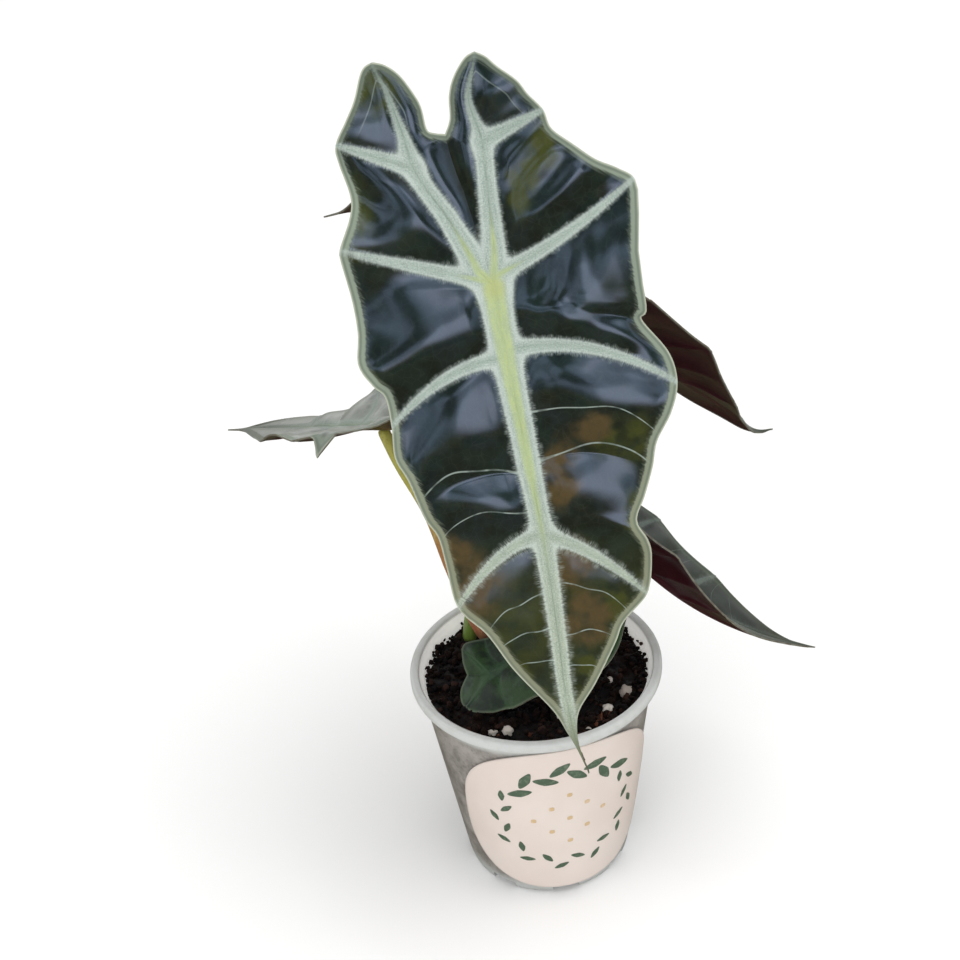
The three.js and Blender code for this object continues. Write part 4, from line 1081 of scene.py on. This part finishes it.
def leaf_face(s, name, face, deep, veined, cored, gloss, blur, sheen, tip, tip_start):
    """Upper face: dark cells with olive patches (partly the leaf's tone, partly painted warm reflection), brown
    patches of painted sheen, bluish patches of painted reflection, hairy pale veins with a yellow core and painted
    shading across them, and a pale edge band.
    """
    t = Skin(name)
    vein, along, margin, thread, core, centre, x, y, joint, reach, olive, brown = t.attributes(
        "vein along margin thread core centre flat_x flat_y joint reach olive brown")
    flat = t.vector(x, y)
    broken = t.span(t.noise(flat, 0.2, 2, 0.45), 0.3, 0.65, 0.4, 1.2)
    # olive: patches and a tint over the lower third, partly the leaf's tone and partly painted warm reflection;
    # brown: painted sheen
    olive = t.most(t.span(t.times(olive, broken), 0.1, 0.85), t.times(t.span(y, -46, -68, 0, 0.55), broken))
    brown = t.span(t.times(brown, broken), 0.1, 0.7)
    face = t.paint(
        face,
        (t.span(t.noise(flat, 0.16, 3), 0.42, 0.62), deep),
        # Bluish-grey patches: painted reflection of the cool windows
        (t.times(t.patches(x, y, 7, 0.46, 0.62, 5), 0.25), "222e35"),
        # Olive patches, partly painted warm reflection, and brown patches of painted sheen
        (olive, s.olive),
        (brown, s.brown),
        (t.span(t.noise(flat, 0.5, 4, 0.6), 0.45, 0.75, 0, 0.3), "1e2b1f"),
        (t.times(t.span(t.cells(flat, 0.55, "DISTANCE_TO_EDGE"), 0.05, 0), 0.02), s.margin))

    hairy = t.hairy(vein, along, 0.22, t.span(y, 5, -55, 0.6, 1), 0.42)
    fibre = t.noise(t.vector(t.times(centre, 4), t.times(along, 0.3)), 1, 4, 0.65)
    fuzz = t.noise(flat, 3.2, 3, 0.7)
    # middle: the vein's groove, where painted shade falls
    middle = t.times(t.span(centre, 0.2, 0.06), t.span(t.noise(t.vector(along, 0), 0.25), 0.35, 0.6))
    streaked = t.times(t.span(core, 0, 1), t.span(fibre, 0.25, 0.6, 1, 0.62))
    vein_colour = t.paint(
        s.vein,
        (t.span(y, -20, -75), "aab39f"),
        (t.span(fibre, 0.35, 0.65, 0, 0.5), "83918a"),
        (t.span(fuzz, 0.5, 0.66, 0, 0.7), "c3ccc2"),
        (t.span(fuzz, 0.48, 0.34, 0, 0.5), "76857b"),
        # Lighter edges, a darker middle and a darker groove: painted shading that rounds the vein
        (t.span(centre, 0.5, 0.95, 0, 0.4), "ccd5d0"),
        (t.span(centre, 0.5, 0.15, 0, 0.25), "8a9a86"),
        (t.times(middle, 0.3), "5d6c60"),
        (t.span(y, 24, 42, 0, 0.6), "6f7d76"),
        (t.times(streaked, cored), s.core),
        (t.times(t.span(joint, 3.5, 0.5), 0.45 * cored), "aeb067"))

    band = t.hairy(t.sum(margin, t.span(y, 14, 30, -1.6, -1.1)), t.sum(x, t.times(y, 1.3)), 0.4, 0.7, 0.25)
    line = t.times(t.span(margin, 0.95, 0.65), t.span(margin, 0.25, 0.5))
    margin_colour = t.paint(
        s.margin,
        (t.span(y, -10, -60), "878b74"),
        (t.span(y, 22, 36, 0, 0.7), "5f685c"),
        (t.times(line, 0.55), "616c60"),
        (t.span(margin, 0.4, 0.15), "b3b9a6"))

    threads = t.times(t.span(t.math("ABSOLUTE", thread), 1.9, 0.5),
                      t.span(t.noise(flat, 0.35), 0.35, 0.6, 0.2, 0.65))
    aside = t.math("ABSOLUTE", t.sum(margin, -3.2))
    loops = t.times(t.span(aside, 0.2, 0.04), t.span(y, 30, 35, 0, 0.22))
    colour = t.paint(
        face,
        (t.times(t.most(threads, loops), veined), s.vein),
        (t.times(band, 0.92 * veined), margin_colour),
        (t.times(hairy, veined), vein_colour),
        (t.span(reach, tip_start, 0.96, 0, 0.8), tip))
    pale = t.most(hairy, t.times(band, 0.9))
    dull = t.most(pale, t.times(t.most(olive, brown), 0.35))
    height = t.sum(t.times(t.noise(flat, 2.4, 3, 0.6), 0.04), t.times(hairy, t.times(fuzz, 0.3)))
    return t.shaded({
        "Base Color": colour, "Roughness": t.span(pale, 0, 1, 0.38, 0.75), "Normal": t.bump(height, 0.5, 0.4 * MM),
        "Specular IOR Level": 0.12, "Coat Weight": t.span(dull, 0, 0.7, gloss, 0), "Coat Roughness": blur,
        "Sheen Weight": sheen, "Sheen Roughness": 0.45, "Sheen Tint": (0.86, 0.9, 0.85)})


def leaf_underside(s):
    t = Skin("Leaf underside")
    vein, along, margin, x, y = t.attributes("vein along margin flat_x flat_y")
    colour = t.paint(
        s.underside,
        (t.times(t.patches(x, y, 6, 0.35, 0.7), 0.5), "3a0f17"),
        (t.times(t.hairy(t.sum(vein, 0.5), along, 0.3, 0.3, 0.4), 0.18), "5c3034"),
        (t.span(margin, 0.6, 0.1, 0, 0.25), s.margin))
    fine = t.noise(t.vector(x, y), 1.8, 4, 0.6)
    return t.shaded({
        "Base Color": colour, "Roughness": t.span(fine, 0.3, 0.7, 0.28, 0.42),
        "Normal": t.bump(fine, 0.25, 0.3 * MM), "Specular IOR Level": 0.3, "Coat Weight": 0.22,
        "Coat Roughness": 0.3})


def leaf_rim(name, first, second):
    t = Skin(name)
    x, y = t.attributes("flat_x flat_y")
    return t.shaded({"Base Color": t.mix(t.patches(x, y, 2, 0.3, 0.7), first, second), "Roughness": 0.5})


def young_face(s):
    t = Skin("Young leaf face")
    margin, thread, vein, x, y = t.attributes("margin thread vein flat_x flat_y")
    colour = t.paint(
        s.young_face,
        (t.patches(x, y, 7, 0.4, 0.6), "0d1f12"),
        # Greyish patches: painted sheen
        (t.times(t.patches(x, y, 4, 0.5, 0.7, 4), 0.3), "4c6052"),
        (t.times(t.span(vein, 0.3, -0.6), 0.35), s.young_vein),
        (t.span(t.math("ABSOLUTE", thread), 1.8, 0.5, 0, 0.25), s.young_vein),
        (t.span(margin, 0.7, 0.1, 0, 0.35), "7d8a72"))
    fine = t.noise(t.vector(x, y), 1.6, 4, 0.6)
    return t.shaded({
        "Base Color": colour, "Roughness": t.span(fine, 0.3, 0.7, 0.3, 0.42),
        "Normal": t.bump(fine, 0.35, 0.3 * MM), "Specular IOR Level": 0.3, "Coat Weight": 0.15,
        "Coat Roughness": 0.16})


def stalk_skin(name, foot, middle, top):
    t = Skin(name)
    share, along = t.attributes("share along")
    place = t.place()
    streak = t.noise(t.scaled(place, (900, 900, 120)), 1, 3, 0.6)
    colour = t.paint(
        foot,
        (t.span(share, 0.05, 0.4), middle),
        (t.span(share, 0.45, 0.85), top),
        (t.span(t.noise(place, 1400, 3, 0.7), 0.5, 0.68, 0, 0.45), "5c4630"),
        (t.span(streak, 0.5, 0.75, 0, 0.35), "c6bd78"))
    ring = t.noise(t.vector(t.times(along, 1.2), 0), 1)
    height = t.sum(t.times(streak, 0.6), t.times(ring, 0.2))
    return t.shaded({
        "Base Color": colour, "Roughness": 0.42, "Normal": t.bump(height, 0.3, 0.2 * MM),
        "Subsurface Weight": 0.12, "Subsurface Radius": (0.002, 0.0015, 0.0006), "Subsurface Scale": 0.4})


def frosted_plastic(s):
    """Frosted plastic: white inside above the soil with a painted glow of light from behind there and on the lip,
    and stained by the soil behind it outside.
    """
    t = Skin("Frosted plastic")
    place = t.place()
    z = t.part(place, "Z")
    haze = t.noise(place, 260, 4, 0.6)
    flow = t.noise(t.scaled(place, (300, 300, 60)), 1, 3)
    across = t.add("ShaderNodeVectorMath", {0: t.scaled(place, (1, 1, 0))}, "Value", operation="LENGTH")
    depth = t.sum(across, t.times(z, -CUP_FLARE / NECK_HEIGHT), -CUP_FOOT * MM)
    # inside: the inner wall above the soil, painted whiter and glowing as painted backlight
    inside = t.times(t.span(depth, -0.12 * MM, -0.35 * MM), t.span(z, 42 * MM, 46 * MM))
    filled = t.times(t.span(z, 52.5 * MM, 50.5 * MM), t.span(z, 1.5 * MM, 5 * MM))
    stained = t.paint(
        "a8a29c",
        (t.span(t.noise(place, 170, 5, 0.66), 0.34, 0.7), "726b65"),
        (t.times(t.span(t.noise(place, 900, 3, 0.6), 0.5, 0.66), 0.45), "564f49"))
    colour = t.paint(
        s.plastic,
        (t.span(haze, 0.4, 0.65), "c6c8c5"),
        (t.times(filled, 0.9), stained),
        (inside, "f8f8f5"))
    # lip: a faint painted glow on the lip
    lip = t.span(z, 54.2 * MM, 54.8 * MM, 0, 0.15)
    return t.shaded({
        "Base Color": colour, "Roughness": t.span(haze, 0.3, 0.7, 0.28, 0.4), "IOR": 1.45,
        "Transmission Weight": 0.15, "Normal": t.bump(flow, 0.12, 0.3 * MM),
        # Painted glow: emission on the inner wall and the lip, which are no lamp
        "Emission Color": t.mix(t.most(inside, lip), "000000", "f4f3ee"), "Emission Strength": 0.3})


def label_paper(s):
    t = Skin("Label film")
    place = t.place()
    share, = t.attributes("share")
    colour = t.paint(
        s.paper,
        (t.span(t.noise(place, 60, 3), 0.35, 0.65), "e6dad2"),
        (t.times(t.span(share, 0.97, 1), 0.4), "c9c0ba"))
    fine = t.noise(place, 1800)
    return t.shaded({
        "Base Color": colour, "Roughness": t.span(fine, 0.3, 0.7, 0.36, 0.48),
        "Normal": t.bump(fine, 0.08, 0.1 * MM), "Coat Weight": 0.15, "Coat Roughness": 0.3})


def print_ink(name, colour, other):
    t = Skin(name)
    worn = t.span(t.noise(t.place(), 900, 3, 0.7), 0.45, 0.7, 0, 0.6)
    return t.shaded({"Base Color": t.mix(worn, colour, other), "Roughness": 0.45})


def soil_mix(s):
    t = Skin("Soil")
    place = t.place()
    cloud = t.noise(place, 180, 5, 0.65)
    fine = t.noise(place, 1500, 4, 0.7)
    white = t.times(t.span(t.cells(place, 260), 0.16, 0.1), t.span(t.noise(place, 90, 1), 0.58, 0.62))
    colour = t.paint(
        s.dark,
        (t.span(cloud, 0.42, 0.66), s.brown),
        (t.times(t.span(fine, 0.6, 0.7), t.span(cloud, 0.45, 0.6), 0.5), "6b4a33"),
        (t.times(white, 0.6), s.grain))
    height = t.sum(t.times(t.cells(place, 420), 0.7), t.times(fine, 0.5))
    return t.shaded({
        "Base Color": colour, "Roughness": t.span(cloud, 0.3, 0.7, 0.55, 0.95),
        "Normal": t.bump(height, 0.8, 0.6 * MM), "Specular IOR Level": 0.2})


def grain_mix(name, first, second, third, rough):
    """Loose grains whose tint varies from one to the next."""
    t = Skin(name)
    tint, = t.attributes("tint")
    fine = t.noise(t.place(), 2200, 4, 0.7)
    colour = t.paint(
        first,
        (t.span(tint, 0, 0.6), second),
        (t.span(tint, 0.8, 0.95), third),
        (t.span(fine, 0.5, 0.7, 0, 0.5), first))
    return t.shaded({"Base Color": colour, "Roughness": rough, "Normal": t.bump(fine, 0.6, 0.25 * MM),
                     "Specular IOR Level": 0.2})


# Operators

class PLANT_OT_front_leaf(bpy.types.Operator):
    """Builds the large front leaf"""
    bl_idname = "plant.front_leaf"
    bl_label = "Front leaf"

    def execute(self, context):
        s = context.scene.plant_leaf
        build_groups()
        face = leaf_face(s, "Front leaf face", s.face, "14211c", 1, 0.9, 1, 0.11, 0, "63674b", 0.83)
        rim = leaf_rim("Front leaf rim", s.margin, "b4ad92")
        make_blade("front", s, [face, leaf_underside(s), rim], FRONT_GRAIN)
        return {"FINISHED"}


class PLANT_OT_side_leaves(bpy.types.Operator):
    """Builds the left, right and back leaves"""
    bl_idname = "plant.side_leaves"
    bl_label = "Side and back leaves"

    def execute(self, context):
        s = context.scene.plant_leaf
        face = leaf_face(s, "Side leaf face", "242a25", "363c36", 0.36, 0.2, 0.5, 0.35, 0.25, "2b2c25", 0.4)
        # The left leaf's pale grey face, lighter near the joint and darker towards the tip, is painted sheen
        sheen_painted_face = leaf_face(s, "Left leaf face", "747972", "8a8f86", 0.6, 0.2, 0.6, 0.3, 0.28, "2b2c25", 0.05)
        rim = leaf_rim("Side leaf rim", "77786a", "5d5348")
        for name in ("left", "right_lower", "right_upper", "back"):
            skins = [sheen_painted_face if name == "left" else face, bpy.data.materials["Leaf underside"], rim]
            make_blade(name, s, skins, SIDE_GRAIN)
        return {"FINISHED"}


class PLANT_OT_young_leaf(bpy.types.Operator):
    """Builds the young leaf low over the soil"""
    bl_idname = "plant.young_leaf"
    bl_label = "Young leaf"

    def execute(self, context):
        s = context.scene.plant_leaf
        skins = [young_face(s), bpy.data.materials["Leaf underside"], bpy.data.materials["Side leaf rim"]]
        make_blade("young", s, skins, YOUNG_GRAIN, young=True)
        return {"FINISHED"}


class PLANT_OT_stalks(bpy.types.Operator):
    """Builds the six leaf stalks"""
    bl_idname = "plant.stalks"
    bl_label = "Leaf stalks"

    def execute(self, context):
        s = context.scene.plant_stalk
        brown = stalk_skin("Stalk skin", s.foot, s.middle, s.top)
        green = stalk_skin("Green stalk skin", s.green, s.green, s.top)
        for name in LEAVES:
            make_stalk(name, green if name in ("back", "young") else brown)
        return {"FINISHED"}


class PLANT_OT_cup(bpy.types.Operator):
    """Builds the frosted cup"""
    bl_idname = "plant.cup"
    bl_label = "Cup"

    def execute(self, context):
        s = context.scene.plant_pot
        make_pot(s, frosted_plastic(s))
        return {"FINISHED"}


class PLANT_OT_label(bpy.types.Operator):
    """Builds the label with its printed wreath"""
    bl_idname = "plant.label"
    bl_label = "Label"

    def execute(self, context):
        s = context.scene.plant_label
        make_label(s, label_paper(s))
        centre = s.middle / MM + 1
        count, ring, gap = 26, 16.5, 4.2
        wreath = []
        for i in range(count):
            turn = 2 * math.pi * i / count
            hand = 1 if i % 2 else -1
            x, y = polar(ring + 1.3 * hand, turn)
            large = 1.35 if 2 < i < 11 else 0.85
            wreath.append((x, centre + y, turn + math.pi / 2 + 0.55 * hand, 4.4 * large, 1.9 * large))
        printed("label_wreath", wreath, print_ink("Green ink", s.leaf, "7c8d78"))
        dots = [(gap * (i - j), centre + gap * (i + j - 2), 0.8, 1.5, 1.5) for i in range(3) for j in range(3)]
        printed("label_dots", dots, print_ink("Gold ink", s.gold, "e6cdb6"))
        return {"FINISHED"}


class PLANT_OT_soil(bpy.types.Operator):
    """Builds the soil bed, the corm, and the crumbs, grains and chips on the soil"""
    bl_idname = "plant.soil"
    bl_label = "Soil"

    def execute(self, context):
        s = context.scene.plant_soil
        make_soil(s, soil_mix(s))
        make_corm(grain_mix("Corm skin", "3d2a1c", "5a4028", "7a5a3a", 0.8))
        chance = np.random.default_rng(7)
        level = s.level / MM
        stems = [(*CROWN, 7.5), (-14.9, 16.9, 2.2)]

        def at(x, y, size, sunk):
            return x, y, soil_height(x, y, level) + size * sunk, size

        def spots(count, low, high, spread=1.0):
            found = []
            while len(found) < count:
                size = chance.uniform(low, high) ** 1.6 / high ** 0.6
                reach = (soil_radius(level) - size) * chance.uniform() ** (0.5 * spread)
                turn = chance.uniform(0, 2 * math.pi)
                x, y = polar(reach, turn)
                if all(math.hypot(x - a, y - b) > r + size for a, b, r in stems):
                    found.append(at(x, y, size, 0.25))
            return found

        crumbs = spots(s.crumbs, 0.25, 1.25) + spots(s.crumbs // 5, 0.3, 0.9, 0.12)
        for turn in chance.uniform(0, 2 * math.pi, s.crumbs // 4):
            size, climb = chance.uniform(0.25, 0.8), 2.6 * chance.uniform() ** 2
            reach = outer_radius(level + climb) - CUP_WALL - 0.75 * size
            crumbs.append((*polar(reach, turn), level + climb, size))
        models = [lump(2, 0.55, 10 * i, (1, 0.85, 0.7)) for i in range(6)]
        scatter("soil_crumbs", models, crumbs, chance, grain_mix("Soil crumbs", s.dark, s.brown, "33211a", 0.9))

        shown = [(20.3, -9.6, 1.5), (15.4, -15.2, 1.25), (-8.2, -19.5, 1.2), (17, -5, 0.8), (-12, -18.6, 0.7)]
        pearls = [at(*spot, 0.5) for spot in shown] + spots(16, 0.3, 0.9)
        models = [lump(3, 0.35, 100 + 10 * i) for i in range(4)]
        scatter("perlite_grains", models, pearls, chance, grain_mix("Perlite", s.grain, "cfc8c0", "9a8f86", 0.85))

        chips = [(13.5 + 0.8 * i, -18 + 0.7 * (i % 3), level + 0.5, 0.8) for i in range(4)] + spots(14, 0.4, 1.0)
        models = [lump(2, 0.5, 200 + 10 * i, (1.5, 0.7, 0.4)) for i in range(4)]
        scatter("bark_chips", models, chips, chance, grain_mix("Bark", s.bark, "5c3828", "7d5c48", 0.8))
        return {"FINISHED"}


# Stage

# The photo's camera: pitch and roll in degrees, focal length and picture width in pixels, place in metres
PITCH, ROLL, FOCAL_LENGTH, PICTURE_WIDTH = 32.08, -5.47, 1470, 960
CAMERA_PLACE = (-0.009, -0.2734, 0.2801)
# Width of the camera's sensor, in mm
SENSOR = 36


def floor_paper(s):
    """The floor: plain pale, but dark and warm where a glossy leaf mirrors it."""
    t = Skin("Floor")
    pale = t.mix(t.noise(t.place(), 3), s.floor, "f5f5f5")
    mirrored = t.add("ShaderNodeLightPath", {}, "Is Glossy Ray")
    return t.shaded({"Base Color": t.mix(mirrored, pale, "5c5a42"), "Roughness": 0.95})


def blob(t, way, centre, inner, outer):
    """Soft round patch of sky round the direction `centre`, from angle cosines inner to outer."""
    closeness = t.add("ShaderNodeVectorMath", {0: way, 1: Vector(centre).normalized()}, "Value",
                      operation="DOT_PRODUCT")
    return t.span(closeness, outer, inner)


def studio_world(s):
    """Even white surroundings for light and camera, and soft cool windows for what the leaves mirror."""
    world = bpy.data.worlds.new("Studio")
    world.use_nodes = True
    t = Tree(world.node_tree)
    way = t.add("ShaderNodeTexCoord", {}, "Generated")
    shapes = t.noise(way, 3, 2, 0.45)
    windows = t.mix(t.span(t.noise(way, 2.2, 1), 0.45, 0.6), s.window, (3, 3.4, 4.6))
    cool = t.mix(t.span(shapes, 0.42, 0.55), (0.03, 0.05, 0.04), s.haze)
    cool = t.mix(t.span(shapes, 0.56, 0.66), cool, windows)
    cool = t.mix(blob(t, way, (0, -1, 0.15), 0.8, 0.6), (0.5, 0.5, 0.46), cool)
    warm = t.mix(t.span(t.noise(way, 6.5), 0.42, 0.6), (0.05, 0.05, 0.02), s.warm)
    mirrored = t.mix(t.span(t.part(way, "Z"), 0.26, 0.1), cool, warm)
    mirrored = t.mix(blob(t, way, (0, 0.75, 0.6), 0.75, 0.2), mirrored, (1.5, 1.5, 1.5))
    colour = t.paint(
        (0.6, 0.6, 0.6),
        (t.add("ShaderNodeLightPath", {}, "Is Glossy Ray"), mirrored),
        (t.add("ShaderNodeLightPath", {}, "Is Camera Ray"), (1, 1, 1)))
    t.end("ShaderNodeOutputWorld", t.add("ShaderNodeBackground", {"Color": colour}))
    return world


def hold(name, data, matrix):
    """An object in the scene that holds a lamp or a lens."""
    holder = bpy.data.objects.new(name, data)
    bpy.context.scene.collection.objects.link(holder)
    holder.matrix_world = matrix
    return holder


def light(name, kind, where, towards, power, colour, **settings):
    """A lamp that shines from one place towards another and isn't mirrored itself."""
    lamp = bpy.data.lights.new(name, kind)
    lamp.energy = power
    lamp.color = colour
    for key, value in settings.items():
        setattr(lamp, key, value)
    turn = (Vector(towards) - Vector(where)).to_track_quat("-Z", "Y").to_matrix().to_4x4()
    hold(name, lamp, Matrix.Translation(where) @ turn).visible_glossy = False


class PLANT_OT_stage(bpy.types.Operator):
    """Sets the pale floor, the soft lights and the camera"""
    bl_idname = "plant.stage"
    bl_label = "Stage"

    def execute(self, context):
        s = context.scene.plant_stage
        floor = added(bpy.ops.mesh.primitive_plane_add, "floor", size=6)
        floor.data.materials.append(floor_paper(s))
        light("front_panel", "AREA", (-0.25, -0.85, 0.45), (0, 0, 0.13), s.panel_power, (1, 0.99, 0.97),
              shape="RECTANGLE", size=0.8, size_y=0.6)
        light("top_light", "SUN", (0.2, -0.1, 1), (0, 0, 0), s.top_power, (1, 1, 1), angle=math.radians(50))
        context.scene.world = studio_world(s)

        lens = bpy.data.cameras.new("camera")
        lens.sensor_width = SENSOR
        lens.lens = SENSOR * FOCAL_LENGTH / PICTURE_WIDTH
        lens.clip_start = 0.01
        turn = Matrix.Rotation(math.radians(90 - PITCH), 4, "X") @ Matrix.Rotation(math.radians(ROLL), 4, "Z")
        context.scene.camera = hold("camera", lens, Matrix.Translation(CAMERA_PLACE) @ turn)
        context.scene.view_settings.view_transform = "Standard"
        return {"FINISHED"}


class PLANT_PT_panel(bpy.types.Panel):
    """Lists the plant's pieces"""
    bl_idname = "PLANT_PT_panel"
    bl_label = "Potted plant"
    bl_space_type = "VIEW_3D"
    bl_region_type = "UI"
    bl_category = "Plant"

    def draw(self, context):
        for operator in OPERATORS:
            self.layout.operator(operator.bl_idname)
        for name in SETTINGS:
            group = getattr(context.scene, name)
            for key in group.__annotations__:
                self.layout.prop(group, key)


SETTINGS = {
    "plant_leaf": LeafSettings,
    "plant_stalk": StalkSettings,
    "plant_pot": PotSettings,
    "plant_label": LabelSettings,
    "plant_soil": SoilSettings,
    "plant_stage": StageSettings,
}
OPERATORS = (PLANT_OT_stage, PLANT_OT_cup, PLANT_OT_label, PLANT_OT_soil, PLANT_OT_front_leaf,
             PLANT_OT_side_leaves, PLANT_OT_young_leaf, PLANT_OT_stalks)


def register():
    for one in (*SETTINGS.values(), *OPERATORS, PLANT_PT_panel):
        bpy.utils.register_class(one)
    for name, group in SETTINGS.items():
        setattr(bpy.types.Scene, name, PointerProperty(type=group))


def unregister():
    for name in SETTINGS:
        delattr(bpy.types.Scene, name)
    for one in reversed((*SETTINGS.values(), *OPERATORS, PLANT_PT_panel)):
        bpy.utils.unregister_class(one)


def main():
    register()
    for operator in OPERATORS:
        getattr(bpy.ops.plant, operator.bl_idname.split(".")[1])()


if __name__ == "__main__":
    main()
